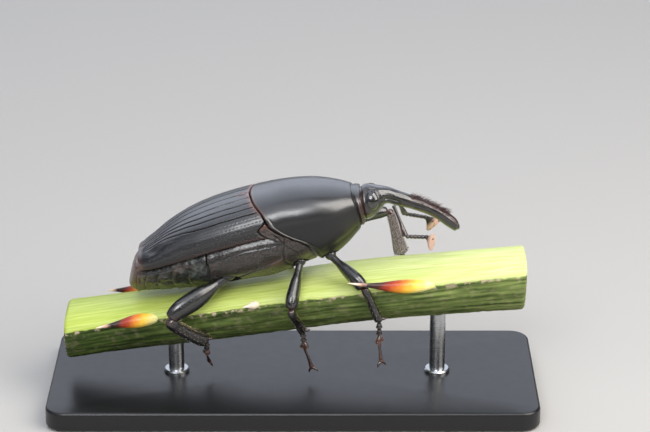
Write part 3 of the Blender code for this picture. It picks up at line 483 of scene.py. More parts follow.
# %% The wing cases
# Angle of each stria at the front, its depth
STRIAE = ((11, 0.24), (24, 0.3), (36, 0.3), (50, 0.3), (61, 0.05), (70, 0.04), (79, 0.035), (87, 0.03))
STRIA_WIDTH = 0.14
DIMPLE_PLACE, DIMPLE_ANGLE = -16.1, 45.0
SEAM_GAP = 0.07
CASE_ROWS, CASE_COLUMNS, LINING_COLUMNS = 130, 230, 20
CASE_CORNER = 2.2


def case_front(angle):
    """Front edge of a wing case: it follows the shield, and its outer corner is cut back."""
    return smooth_curve(PRONOTUM_HIND, 1, angle) - GAP * 0.55 - CASE_CORNER * smooth_step(angle, 70, 92)


def arc_share(angle, place):
    """Distance over the back from its top to an angle, in mm."""
    steps = np.linspace(0, 1, 60)[:, None] * np.atleast_1d(angle)[None, :]
    points = trunk(place, steps)
    return np.linalg.norm(np.diff(points, axis=0), axis=-1).sum(0)


def angles_by_arc(count, last, place):
    """Angles from 0 to last that lie evenly over the back."""
    fine = np.linspace(0, last, 400)
    length = arc_share(fine, place)
    return np.interp(np.linspace(0, length[-1], count), length, fine)


def case_layer(angles, side, base_inset):
    share = np.linspace(0, 1, CASE_ROWS)
    share = (share - 0.05 * np.sin(2 * np.pi * share))[:, None]
    angle = np.asarray(angles)[None, :]
    start = case_front(angle)
    corner = ELYTRON_CORNER * smooth_step(angle, 50, ELYTRON_EDGE)
    end = ELYTRON_HIND + corner + 0.25 * smooth_step(angle, 12, 0)
    place = start + (end - start) * share
    lift = np.full(place.shape, -float(base_inset))
    painted_shade = np.zeros(place.shape)
    if base_inset == 0:
        half = smooth_curve(TRUNK, 1, place)
        along = smooth_step(share, 0.0, 0.03) * smooth_step(-share, -0.99, -0.9)
        fade = 1 - 0.65 * smooth_step(-place, 12.5, 16.5)
        drawn_in = smooth_step(-place, 7.5, 17)
        for stria, deep in STRIAE:
            converge = 1 - 0.45 * drawn_in * smooth_step(-stria, -90, -50)
            distance = (angle - stria * converge) * np.pi / 180 * half * np.where(angle < 45, 1.2, 0.9)
            wander = 0.03 * np.sin(place * 2.1 + stria)
            beaded = 0.15 if deep > 0.1 else 0.5
            pits = 1 - beaded + beaded * np.sin(place * 2 * np.pi / 0.6 + stria)
            cut = hump(distance + wander, 0, STRIA_WIDTH) * along * fade * pits
            lift -= deep * cut
            # The floors of the striae are painted dark: painted shade
            painted_shade = np.maximum(painted_shade, cut * min(1.0, deep / 0.24))
        lift -= curl((angle[:, -1:] - angle) * np.pi / 180 * half, 0.3) + curl(place - end,
            0.3) + curl(start - place, 0.2)
        lift -= curl((angle * np.pi / 180) * half * 2.2, 0.16)
        dimple = hump(place, DIMPLE_PLACE, 0.95) * hump(angle, DIMPLE_ANGLE, 12)
        lift -= 0.2 * dimple
        # The dimple's hollow is painted dark too: painted shade
        painted_shade = np.maximum(painted_shade, 0.55 * dimple)
        lift += 0.010 * ripple(place, angle, 11, 4.0)
        lift -= 0.12 * hump(place - end, 0.9, 0.5) * smooth_step(-angle, -95, -40)
    points = trunk(place, angle, lift)
    half = smooth_curve(TRUNK, 1, place)
    points[..., 1] = side * (SEAM_GAP / 2 + points[..., 1] * (half - SEAM_GAP / 2) / half)
    rim = 0.7 * hump(place - end, 0.0, 0.55) + 0.9 * hump(start - place, 0, 0.5) * smooth_step(-angle, -75,
        -30)
    rim = rim + 0.25 * hump(angle, ELYTRON_EDGE, 3)
    worn = smooth_step(angle, 80, 94) + 0 * place
    return body_to_world(points), np.clip(rim, 0, 1), painted_shade, worn


def strip(upper, lower):
    """Triangles between two rows of point numbers of different length."""
    faces, i, j = [], 0, 0
    while i < len(upper) - 1 or j < len(lower) - 1:
        ahead = i < len(upper) - 1 and (j == len(lower) - 1 or (i + 1) / (len(upper) - 1) <= (j + 1) / (len(
            lower) - 1))
        if ahead:
            faces.append((upper[i], upper[i + 1], lower[j]))
            i += 1
        else:
            faces.append((upper[i], lower[j + 1], lower[j]))
            j += 1
    return faces


case_angles = angles_by_arc(CASE_COLUMNS, ELYTRON_EDGE, -5.0)
lining_angles = angles_by_arc(LINING_COLUMNS, ELYTRON_EDGE, -5.0)
for side, word in ((1, "left"), (-1, "right")):
    outer, rim, painted_shade, worn = case_layer(case_angles, side, 0)
    lining, _, _, _ = case_layer(lining_angles, side, ELYTRON_THICK * 0.75)
    n, m = CASE_COLUMNS, LINING_COLUMNS
    total = outer.shape[0] * n
    faces = grid_faces(CASE_ROWS, n, False)
    faces += [tuple(total + k for k in reversed(f)) for f in grid_faces(CASE_ROWS, m, False)]
    numbers = np.arange(total).reshape(CASE_ROWS, n)
    inner_numbers = total + np.arange(CASE_ROWS * m).reshape(CASE_ROWS, m)
    faces += [(a, c, b) for a, b, c in strip(numbers[0].tolist(), inner_numbers[0].tolist())]
    faces += strip(numbers[-1].tolist(), inner_numbers[-1].tolist())
    for column, turned in ((0, False), (-1, True)):
        out, within = numbers[:, column].tolist(), inner_numbers[:, column].tolist()
        for k in range(CASE_ROWS - 1):
            quad = (out[k], out[k + 1], within[k + 1], within[k])
            faces.append(tuple(reversed(quad)) if turned else quad)
    # The inner face is painted fully dark as painted shade
    flat = {"rim": np.concatenate([rim.ravel(), np.zeros(lining.shape[0] * m)]),
        "painted_shade": np.concatenate([painted_shade.ravel(), np.ones(lining.shape[0] * m)]),
        "worn": np.concatenate([worn.ravel(), np.ones(lining.shape[0] * m)])}
    points = np.vstack([outer.reshape(-1, 3), lining.reshape(-1, 3)])
    case = piece_from(f"wing_case_{word}", points, faces, WING_CASE, flat)
    keep(case, "black_cuticle", f"elytron_{word}")

# %% [markdown]
# Between the bases of the wing cases sits a small shield, the scutellum. It is a
# pillow: a flat outline that swells a little in the middle. Rings that shrink towards
# the middle while they rise make it.

# %% The scutellum
SCUTELLUM_LENGTH, SCUTELLUM_HALF = 2.3, 0.85
turn = np.linspace(0, 2 * np.pi, 72, endpoint=False)
front = -0.7 - GAP
rings = []
for size, rise in ((0.95, -0.7), (1.0, -0.1), (0.97, 0.03), (0.86, 0.09), (0.6, 0.13), (0.3, 0.15),
    (0.06, 0.155)):
    t = (1 - np.cos(turn)) / 2
    taper = np.sin(turn) * (1 - 0.78 * t**0.9) * (1 + 0.5 * np.cos(turn) * t)
    x = front - SCUTELLUM_LENGTH * (0.5 + (t - 0.5) * size)
    y = SCUTELLUM_HALF * taper * size
    top = smooth_curve(TRUNK, 2, x)
    rings.append(np.stack([x, y, top + rise - 0.05], -1))
grid = body_to_world(np.array(rings))
scutellum = ring_piece("small_shield", grid, SIDE_PLATE, {"rim": 0.55, "painted_shade": 0.0})
keep(scutellum, "black_cuticle", "scutellum")

# %% [markdown]
# Under the cases the middle and hind thorax show as side plates, parted by sutures and
# full of coarse pits. The sutures are lines in the grid's two directions, and a
# function cuts a groove along each of them.

# %% The side plates of the thorax
# Sutures: places along the body with their angles
SUTURES = (((3.9, 96), (3.5, 104), (2.9, 118), (2.9, 132), (3.6, 142)), ((-1.6, 131), (0.8, 127), (3.2, 123)),
    ((2.9, 106), (0.0, 104.5), (-4.0, 105), (-8.2, 107)), ((2.2, 95), (2.9, 101), (3.3, 106)),
    ((-1.6, 131), (-4.5, 140), (-7.0, 150)))
MM_PER_DEGREE = 0.125


def line_distance(place, angle, line):
    """Distance on the body, in mm, from a bent line."""
    best = np.full(np.broadcast(place, angle).shape, 99.0)
    for (x0, a0), (x1, a1) in zip(line[:-1], line[1:], strict=True):
        dx, dy = x1 - x0, (a1 - a0) * MM_PER_DEGREE
        px, py = place - x0, (angle - a0) * MM_PER_DEGREE
        t = np.clip((px * dx + py * dy) / (dx * dx + dy * dy), 0, 1)
        best = np.minimum(best, np.hypot(px - t * dx, py - t * dy))
    return best


def under_inset(angle):
    """How deep the hind body lies: under the wing cases above, near the outline below."""
    cover = ELYTRON_THICK + GAP
    return cover + (BODY_INSET - cover) * smooth_step(angle, ELYTRON_EDGE, ELYTRON_EDGE + 10)


angle = both_sides((0, 64, 10), (67, 180, 136))
size = np.abs(angle)
share = np.linspace(0, 1, 110)[:, None]
end = smooth_curve(PRONOTUM_HIND, 1, size) - GAP * 1.2
start = ABDOMEN_FRONT + 0.05
place = start + (end - start) * share
bared = smooth_step(place - case_front(size), -0.1, 0.3) * smooth_step(size, 66, 72)
inset = under_inset(size)
lift = bared * (inset - 0.24) - inset - curl(place - start, 0.15) - curl(end - place, 0.2)
painted_shade = np.zeros(lift.shape)
# The sutures and the coxa sockets are painted dark in their hollows: painted shade
for line in SUTURES:
    cut = hump(line_distance(place, size, line), 0, 0.13)
    lift = lift - 0.2 * cut
    painted_shade = np.maximum(painted_shade, cut)
plate = smooth_step(-size, -106, -103) * smooth_step(place, -8, -7) * smooth_step(size, 95, 99)
lift = lift - 0.1 * plate
swell = hump(place, 1.2, 1.6) * hump(size, 113, 7)
lift = lift + 0.14 * swell + 0.16 * hump(place, -4.2, 3.0) * hump(size, 132, 14)
lift = lift + 0.02 * ripple(place, angle, 5, 2.2)
skin = body_to_world(trunk(place, angle, lift))
skin, depth = sink_sockets(skin, body_to_world(np.array((-1.0, 0.0, 0.0))))
painted_shade = np.clip(painted_shade * (size > 94) + depth / 0.5, 0, 1)
rim = 0.1 * hump(end - place, 0.3, 0.5) + 0.6 * bared * hump(size, 80, 8) + 0.35 * hump(place, 4.5,
    0.9) * hump(size, 102, 4)
rim = rim + 0.6 * hump(place, 1.5, 1.3) * hump(size, 128, 6)
rim = np.clip(rim * (0.75 + 0.5 * ripple(place, angle, 6, 1.1)), 0, 1)
side_plates = ring_piece("side_plates", skin, SIDE_PLATE, {"rim": rim, "painted_shade": painted_shade})
keep(side_plates, "black_cuticle", "thorax")

# %% [markdown]
# The abdomen is a row of rings, the ventrites. The hind edge of each lies a little
# over the next, so the height is a saw curve: it rises slowly towards the tail, then
# drops at once.

# %% The abdomen
VENTRITES = (ABDOMEN_FRONT - 0.05, -11.2, -13.6, -15.7, -17.5, ABDOMEN_HIND)
VENTRITE_STEP = 0.13
angle = both_sides((0, 86, 10), (90, 180, 84))
size = np.abs(angle)
places, steps = [], []
for first, last in zip(VENTRITES[:-1], VENTRITES[1:], strict=True):
    t = np.array((0.0, 0.03, 0.08, 0.16, 0.3, 0.45, 0.6, 0.75, 0.86, 0.93, 0.97, 1.0))
    places += list(first + (last - first) * t)
    step = -VENTRITE_STEP * (1 - t) - 0.1 * hump(t, 1.0, 0.04) - 0.04 * hump(t, 0, 0.06)
    steps += list(step + (0.13 * (1 - t) if first == VENTRITES[0] else 0))
place, step = np.array(places)[:, None], np.array(steps)[:, None]
bow = 0.5 * hump(size, 180, 45) - 0.6 * smooth_step(size, 98, 125)
wrinkles = 0.09 * ripple(place * 1.5, angle, 9, 3.4) + 0.05 * ripple(place, angle, 10, 1.3)
lift = -under_inset(size) + 0.1 + step * smooth_step(size, 98, 112) + wrinkles
skin = body_to_world(trunk(np.clip(place + bow * smooth_step(place, -19, -17), -19.25, -8.4), angle, lift))
# The step under each ventrite's hind edge is painted dark: painted shade
painted_shade = 0.7 * hump(step, -VENTRITE_STEP, 0.05) * (size > 94)
rim = 0.3 * hump(place, -12.5, 1.6) * hump(size, 104, 6) + 0.35 * hump(place, -18.6, 1.0)
belly_rings = ring_piece("belly_rings", skin, BELLY_PLATE, {"rim": rim, "painted_shade": painted_shade})
keep(belly_rings, "black_cuticle", "abdomen")

# %% [markdown]
# The last plate, the pygidium, closes the tail. It is domed and fringed with short
# golden hair, which is grown later with the other bristles.

# %% The pygidium
angle = np.linspace(-180, 180, 140, endpoint=False)[None, :]
size = np.abs(angle)
first = trunk(ABDOMEN_HIND - 0.12, angle, -(0.9 - 0.45 * smooth_step(size, 70, 95)))[0]
under_cases = trunk(ABDOMEN_HIND + 0.5, angle, -1.0)[0]
middle = first.mean(0)
t = np.linspace(0, 1, 40)
rings = [under_cases]
for shrink in t:
    scale = math.cos(shrink * math.pi / 2 * 0.985) ** 0.62
    dome_ring = middle + (first - middle) * scale
    low = (first[:, 2].max() - dome_ring[:, 2]) / np.ptp(first[:, 2])
    dome_ring[:, 0] -= (0.55 + 1.15 * low) * math.sin(shrink * math.pi / 2) ** 1.2
    rings.append(dome_ring)
dome = np.array(rings)
dome[1:, :, 0] += 0.02 * ripple(dome[1:, :, 1] * 3, dome[1:, :, 2] * 25, 4, 3.0)
t = np.concatenate([[0], t])
grid = body_to_world(dome)
tail_plate = ring_piece("tail_plate", grid, BELLY_PLATE, {"rim": 0.3 * hump(t, 0.0, 0.5)[:, None] + 0.35,
    "painted_shade": 0.0})
tail_plate_skin = grid
keep(tail_plate, "black_cuticle", "pygidium")

# %% [markdown]
# Head and snout are one capsule without a seam. Its centre line bends down, and at each
# station it has a radius. Frames along the line turn with it. The snout is a little
# wider than high, and a groove at each side, the scrobe, holds the folded antenna.

# %% The head capsule
# Place along the body, height, radius
HEAD = ((15.9, 1.8, 2.6), (16.5, 1.95, 2.6), (17.3, 2.2, 2.3), (18.2, 2.4, 1.82), (19.15, 2.42, 1.36),
    (21.2, 1.45, 1.12), (22.7, 0.7, 1.02), (24.1, -0.1, 0.98), (25.5, -1.0, 0.95), (26.8, -2.05, 0.95),
    (28.0, -3.35, 0.96), (28.8, -4.25, 0.86))
SNOUT_END = HEAD[-1][0]
NECK_START = 15.2  # inside the fore body's front opening


def capsule(place, angle, lift=0.0):
    """Points round the head's centre line; angle is 0 on top, its sign is the side."""
    place, angle, lift = np.broadcast_arrays(np.asarray(place, float), np.asarray(angle, float), lift)
    z, radius = smooth_curve(HEAD, 1, place), smooth_curve(HEAD, 2, place)
    slope = (smooth_curve(HEAD, 1, place + 0.6) - smooth_curve(HEAD, 1, place - 0.6)) / 1.2
    slope = slope * smooth_step(place, 16.0, 19.0)
    size = np.hypot(1, slope)
    up = np.stack([-slope / size, np.zeros(place.shape), 1 / size], -1)
    around = np.radians(angle)
    wide = np.stack([np.zeros(place.shape), np.ones(place.shape), np.zeros(place.shape)], -1)
    z = z + 0.25 * np.minimum(place - HEAD[0][0], 0)
    centre = np.stack([place, np.zeros(place.shape), z], -1)
    reach = (radius + lift)[..., None]
    return centre + (up * np.cos(around)[..., None] + wide * np.sin(around)[..., None]) * reach


# %% Where the eyes sit
EYE_PLACE, EYE_ANGLE, EYE_SUNK = 16.95, 73.0, 0.12
HEAD_CENTRE_HEIGHT, HEAD_RADIUS = 2.1, 2.4
EYE_HALF = np.array((0.95, 1.5, 0.5))
EYE_BEND = 4.0  # radius, in mm, that bends the eye round the head


def eye_frame(side):
    """Middle of an eye in the body's frame, and its three directions: width, length and outwards."""
    tilt = math.radians(EYE_ANGLE)
    out = Vector((0.12, side * math.sin(tilt), math.cos(tilt))).normalized()
    length = Vector((1, 0, 0)).cross(out).normalized()
    centre = np.array((EYE_PLACE, 0, HEAD_CENTRE_HEIGHT)) + np.array(out) * (HEAD_RADIUS - EYE_SUNK)
    return centre, np.array([out.cross(length), length, out])


def orbit(points):
    """1 on the rim round each eye, which is painted dark as painted shade and dulled; 0 elsewhere."""
    total = np.zeros(points.shape[:-1])
    for side in (1, -1):
        centre, axes = eye_frame(side)
        local = (points - centre) @ axes.T / EYE_HALF
        total += hump(np.hypot(local[..., 0], local[..., 1]), 1.15, 0.22) * (local[..., 2] > -1.5)
    return np.clip(total, 0, 1)


# %% The head's surface
angle = np.linspace(-180, 180, 200, endpoint=False)[None, :]
size = np.abs(angle)
place = np.concatenate([np.linspace(NECK_START, 19.2, 66), np.linspace(19.25, SNOUT_END, 110)])[:, None]
lift = -0.3 * hump(size, 98, 13) * smooth_step(place, 18.4, 19.3) * smooth_step(-place, -21.6, -20.6)
lift = lift - 0.12 * hump(size, 0, 16) * hump(place, 18.6, 0.7)
lift = lift + 0.05 * hump(size, 62, 10) * smooth_step(place, 20.5, 22.5)
lift = lift - 0.10 * hump(size, 0, 30) * smooth_step(place, 22.0, 23.0)
lift = lift + 0.010 * ripple(place, angle, 8, 2.4) - 0.2 * smooth_step(-place, -16.2, -15.7)
lift = lift + 0.08 * hump(place, 15.95, 0.14)
socket_rim = orbit(capsule(place, angle, lift))
skin = capsule(place, angle, lift - 0.08 * socket_rim)
tip_steps = np.linspace(0, 1, 9)[1:]
tip_ring, ahead = skin[-1], np.array((0.62, 0.0, -0.78))
middle = tip_ring.mean(0)
tip = [middle + (tip_ring - middle) * math.cos(s * 1.5) + ahead * 0.42 * math.sin(s * 1.5) for s in tip_steps]
skin = np.concatenate([skin, np.array(tip)])
# The scrobes and the rims round the eyes are painted dark: painted shade
scrobe = hump(size, 98, 12) * smooth_step(place, 18.4, 19.3) * smooth_step(-place, -21.6, -20.8)
seat = 0.3 * smooth_step(place, 22.2, 22.8) * smooth_step(-size, -66, -52)
marks = {"rim": np.concatenate([seat + 0.25 * smooth_step(-place, -16.2, -15.8) + 0 * size,
    np.full((8, 200), 0.1)]), "painted_shade": np.concatenate([np.maximum(scrobe * 0.8, socket_rim),
    np.zeros((8, 200))])}
head = ring_piece("head_and_snout", body_to_world(skin), SNOUT, marks)
keep(head, "black_cuticle", "head", "rostrum")

# %% [markdown]
# Each large eye is a long, low dome of hundreds of lenses, bent round the head. One
# small dome is enough: Geometry Nodes spread points evenly over the eye and set a dome
# on each. A real lens is about 0.03 mm across, too fine for this picture, so they are
# drawn 0.09 mm apart, and nearly flat, because tall ones would dull the eye's gloss.


# %% A tree that sets lenses on an eye
def new_tree(name, inputs):
    """A Geometry Nodes tree with named inputs, a seed and a finish; gives the tree and its two ends."""
    tree = bpy.data.node_groups.new(name, "GeometryNodeTree")
    tree.interface.new_socket("Geometry", in_out="INPUT", socket_type="NodeSocketGeometry")
    for label, kind, value in (*inputs, ("Seed", "Int", 1), ("Finish", "Material", None)):
        made = tree.interface.new_socket(label, in_out="INPUT", socket_type="NodeSocket" + kind)
        if value is not None:
            made.default_value = value
    tree.interface.new_socket("Geometry", in_out="OUTPUT", socket_type="NodeSocketGeometry")
    return tree, add_node(tree, "NodeGroupInput"), add_node(tree, "NodeGroupOutput")


def end_tree(tree, given, result, shape, smooth=True):
    """Trees end alike: instances made real, the finish set, and the whole shaded smooth if asked."""
    real = add_node(tree, "GeometryNodeRealizeInstances", {"Geometry": shape})
    last = add_node(tree, "GeometryNodeSetMaterial", {"Geometry": real, "Material": (given, "Finish")})
    if smooth:
        last = add_node(tree, "GeometryNodeSetShadeSmooth", {"Geometry": last})
    fill(tree, result, {"Geometry": last})
    print(f"{tree.name}: {len(tree.nodes)} nodes")


def grow(name, host, tree, values, finish):
    """Runs a tree on a host piece and keeps the result as a plain mesh; the host is then gone."""
    step = host.modifiers.new(tree.name, "NODES")
    step.node_group = tree
    inputs = [s for s in tree.interface.items_tree if s.item_type == "SOCKET" and s.in_out == "INPUT"]
    labels = {s.name: s.identifier for s in inputs}
    for label, value in {**values, "Finish": finish}.items():
        step[labels[label]] = value
    graph = bpy.context.evaluated_depsgraph_get()
    mesh = bpy.data.meshes.new_from_object(host.evaluated_get(graph))
    host.modifiers.clear()
    bpy.data.objects.remove(host)
    mesh.name = name
    return shown(name, mesh)


lens_tree, given, result = new_tree("lenses_on_an_eye", (("Spacing", "Float", 0.00009),
    ("Lens", "Float", 0.00005)))
points = add_node(lens_tree, "GeometryNodeDistributePointsOnFaces",
    {"Density Max": 4e8, "Mesh": (given, "Geometry"), "Distance Min": (given, "Spacing"),
    "Seed": (given, "Seed")}, distribute_method="POISSON")
dome = add_node(lens_tree, "GeometryNodeMeshIcoSphere", {"Subdivisions": 1, "Radius": (given, "Lens")})
LENS_FLAT = (1.0, 1.0, 0.05)  # nearly flat lenses keep the eye's gloss
lenses = add_node(lens_tree, "GeometryNodeInstanceOnPoints",
    {"Scale": LENS_FLAT, "Points": points, "Instance": dome, "Rotation": (points, "Rotation")})
both = add_node(lens_tree, "GeometryNodeJoinGeometry", {"Geometry": (given, "Geometry")})
fill(lens_tree, both, {"Geometry": lenses})
end_tree(lens_tree, given, result, both)

# %% The eyes
def ball_grid(sides, rings, gap):
    """A ball of radius 1 as a grid of rings; gap is the angle from each pole to the first ring."""
    around = np.linspace(0, 2 * np.pi, sides, endpoint=False)[None, :]
    down = np.linspace(gap, np.pi - gap, rings)[:, None]
    return np.stack([np.sin(down) * np.cos(around), np.sin(down) * np.sin(around), np.cos(down) + 0 * around],
        -1)


for side, word in ((1, "left"), (-1, "right")):
    centre, axes = eye_frame(side)
    local = ball_grid(64, 40, 0.06) * (EYE_HALF - 0.02)
    local[..., 2] -= local[..., 1] ** 2 / (2 * EYE_BEND)
    globe = ring_piece(f"eye_globe_{word}", body_to_world(centre + local @ axes), EYE)
    eye = grow(f"faceted_eye_{word}", globe, lens_tree, {"Spacing": 0.00009, "Lens": 0.000044, "Seed": 5},
        EYE)
    keep(eye, "eye", f"eye_{word}")

# %% [markdown]
# Legs. Every joint is a tube whose width follows its own profile: the femur swells
# towards the knee, the tibia towards the foot. A tube is a grid again, with rings
# square to a smooth path. Ends are rounded, and each joint runs a little into the
# next, as a real joint does, so no gap shows.


# %% Tubes along a path
def bent_path(points, count, spread=None):
    """A smooth path through a few points: places and directions, evenly spaced or at given shares."""
    points = np.array(points, float)
    length = np.concatenate([[0], np.cumsum(np.linalg.norm(np.diff(points, axis=0), axis=1))])
    table = np.column_stack([length, points])
    at = length[-1] * (np.linspace(0, 1, count) if spread is None else np.asarray(spread))
    places = np.stack([smooth_curve(table, c, at) for c in (1, 2, 3)], -1)
    tiny = length[-1] * 0.01
    ahead = np.stack([smooth_curve(table, c, at + tiny) - smooth_curve(table, c, at - tiny) for c in (1, 2,
        3)], -1)
    return places, ahead / np.linalg.norm(ahead, axis=1, keepdims=True)


def tube_grid(points, profile, across, sides=28, count=40, ridges=0.0, ends=(0.5, 0.5)):
    """Rings along a path. profile: share of the way, half width square to across, half width along it."""
    bead = np.array((0.0, 0.15, 0.4, 0.7, 1.0))
    t = np.unique(np.concatenate([bead * 0.04, np.linspace(0.04, 0.96, count), 1 - bead * 0.04]))
    places, ahead = bent_path(points, len(t), t)
    across = np.asarray(across, float)
    wide = across - ahead * (ahead @ across)[:, None]
    wide /= np.linalg.norm(wide, axis=1, keepdims=True)
    high = np.cross(ahead, wide)
    broad, thin = smooth_curve(profile, 1, t), smooth_curve(profile, 2, t)
    edge = np.minimum(t, 1 - t) / 0.04
    first, last = ends
    close = np.where(t < 0.5, first, last)
    rounding = 1 - close * (1 - np.sqrt(np.clip(1 - (1 - np.clip(edge, 0, 1)) ** 2, 0.0025, 1)))
    around = np.linspace(0, 2 * np.pi, sides, endpoint=False)
    ridge = 1 + ridges * np.cos(6 * around)[None, :] * smooth_step(np.minimum(t, 1 - t), 0.02, 0.15)[:, None]
    ring = high[:, None, :] * (broad * rounding)[:, None, None] * (np.cos(around)[None, :] * ridge)[..., None]
    ring = ring + wide[:, None, :] * (thin * rounding)[:, None, None] * (np.sin(around)[None, :] * ridge)[...,
        None]
    return places[:, None, :] + ring, t


class Parts:
    """Collects closed grids that together make one piece."""

    def __init__(self):
        self.points, self.faces, self.marks = [], [], {"rim": [], "painted_shade": [], "reach": []}
        self.total = 0

    def add(self, grid, rim=0.0, painted_shade=0.0, reach=0.0):
        rows, columns = grid.shape[:2]
        points = np.vstack([grid.reshape(-1, 3), grid[0].mean(0), grid[-1].mean(0)])
        faces = grid_faces(rows, columns, True)
        last, start, end = (rows - 1) * columns, rows * columns, rows * columns + 1
        faces += [((j + 1) % columns, j, start) for j in range(columns)]
        faces += [(last + j, last + (j + 1) % columns, end) for j in range(columns)]
        corners = points[np.array([f[:3] for f in faces])] - points.mean(0)
        if np.einsum("ij,ij->i", corners[:, 0], np.cross(corners[:, 1], corners[:, 2])).sum() < 0:
            faces = [tuple(reversed(f)) for f in faces]
        self.faces += [tuple(self.total + k for k in f) for f in faces]
        self.points.append(points)
        self.total += len(points)
        for mark, value in (("rim", rim), ("painted_shade", painted_shade), ("reach", reach)):
            value = np.asarray(value, float)
            if value.ndim == 1:
                value = value[:, None]
            value = np.broadcast_to(value, (rows, columns))
            self.marks[mark].append(np.concatenate([value.ravel(), [value[0].mean(), value[-1].mean()]]))

    def piece(self, name, finish):
        marks = {mark: np.concatenate(values) for mark, values in self.marks.items()}
        return piece_from(name, np.vstack(self.points), self.faces, finish, marks)


# %% [markdown]
# One function makes a leg from its five joints: coxa ball, femur, tibia with its hook,
# and the foot with three joints, two soft lobes and two claws. The lobes carry a sole
# of dense bristles, and the inner edge of the tibia a fringe of golden hair.

# %% Leg sizes
FEMUR_HALF = {"front": 1.18, "mid": 1.16, "hind": 1.42}
TIBIA_HALF = {"front": 0.7, "mid": 0.68, "hind": 0.96}
BROAD_SHIN = "front_left"  # this shin turns its broad side to the camera, its femur lies behind the head
FEMUR_PROFILE = ((0.0, 0.5), (0.15, 0.64), (0.35, 0.88), (0.6, 1.04), (0.8, 1.08), (0.92, 1.0), (1.0, 0.78))
# The hind femur is broader than the others in its middle
BLADE_PROFILE = ((0.0, 0.5), (0.12, 0.66), (0.3, 1.0), (0.5, 1.14), (0.7, 1.1), (0.9, 0.92), (1.0, 0.72))
TIBIA_PROFILE = ((0.0, 0.9), (0.08, 1.06), (0.25, 1.0), (0.55, 1.02), (0.85, 1.16), (0.95, 1.12), (1.0, 0.9))
KNEE_REACH, LEG_THINNING = 1.5, 0.78
COXA_SHOWN = 0.68  # only the top of the ball shows out of its socket
COXA_RISE = {"front": 0.15, "mid": 0.15, "hind": 0.45}
HOOK_LENGTH, TARSUS_HALF = 1.1, 0.42


def unit(vector):
    vector = np.asarray(vector, float)
    return vector / np.linalg.norm(vector)


def spike_grid(root, step, bend, profile, across, sides=12, count=14, flat=1.0, start=0.0):
    """A tapered, bent spike as a grid; profile: share of the way, radius."""
    root, step, bend = (np.asarray(v, float) for v in (root, step, bend))
    t = np.linspace(start, 1, count)
    centre = root + step * t[:, None] + bend * (4 * t * (1 - t))[:, None]
    radius = np.maximum(smooth_curve(profile, 1, t), 0.012)
    ahead = unit(step)
    wide = unit(np.asarray(across, float) - ahead * (ahead @ np.asarray(across, float)))
    high = np.cross(ahead, wide)
    around = np.linspace(0, 2 * np.pi, sides, endpoint=False)
    ring = wide * np.cos(around)[:, None] + high * flat * np.sin(around)[:, None]
    return centre[:, None, :] + ring[None] * radius[:, None, None], t


fringes, soles, hairy = [], [], []


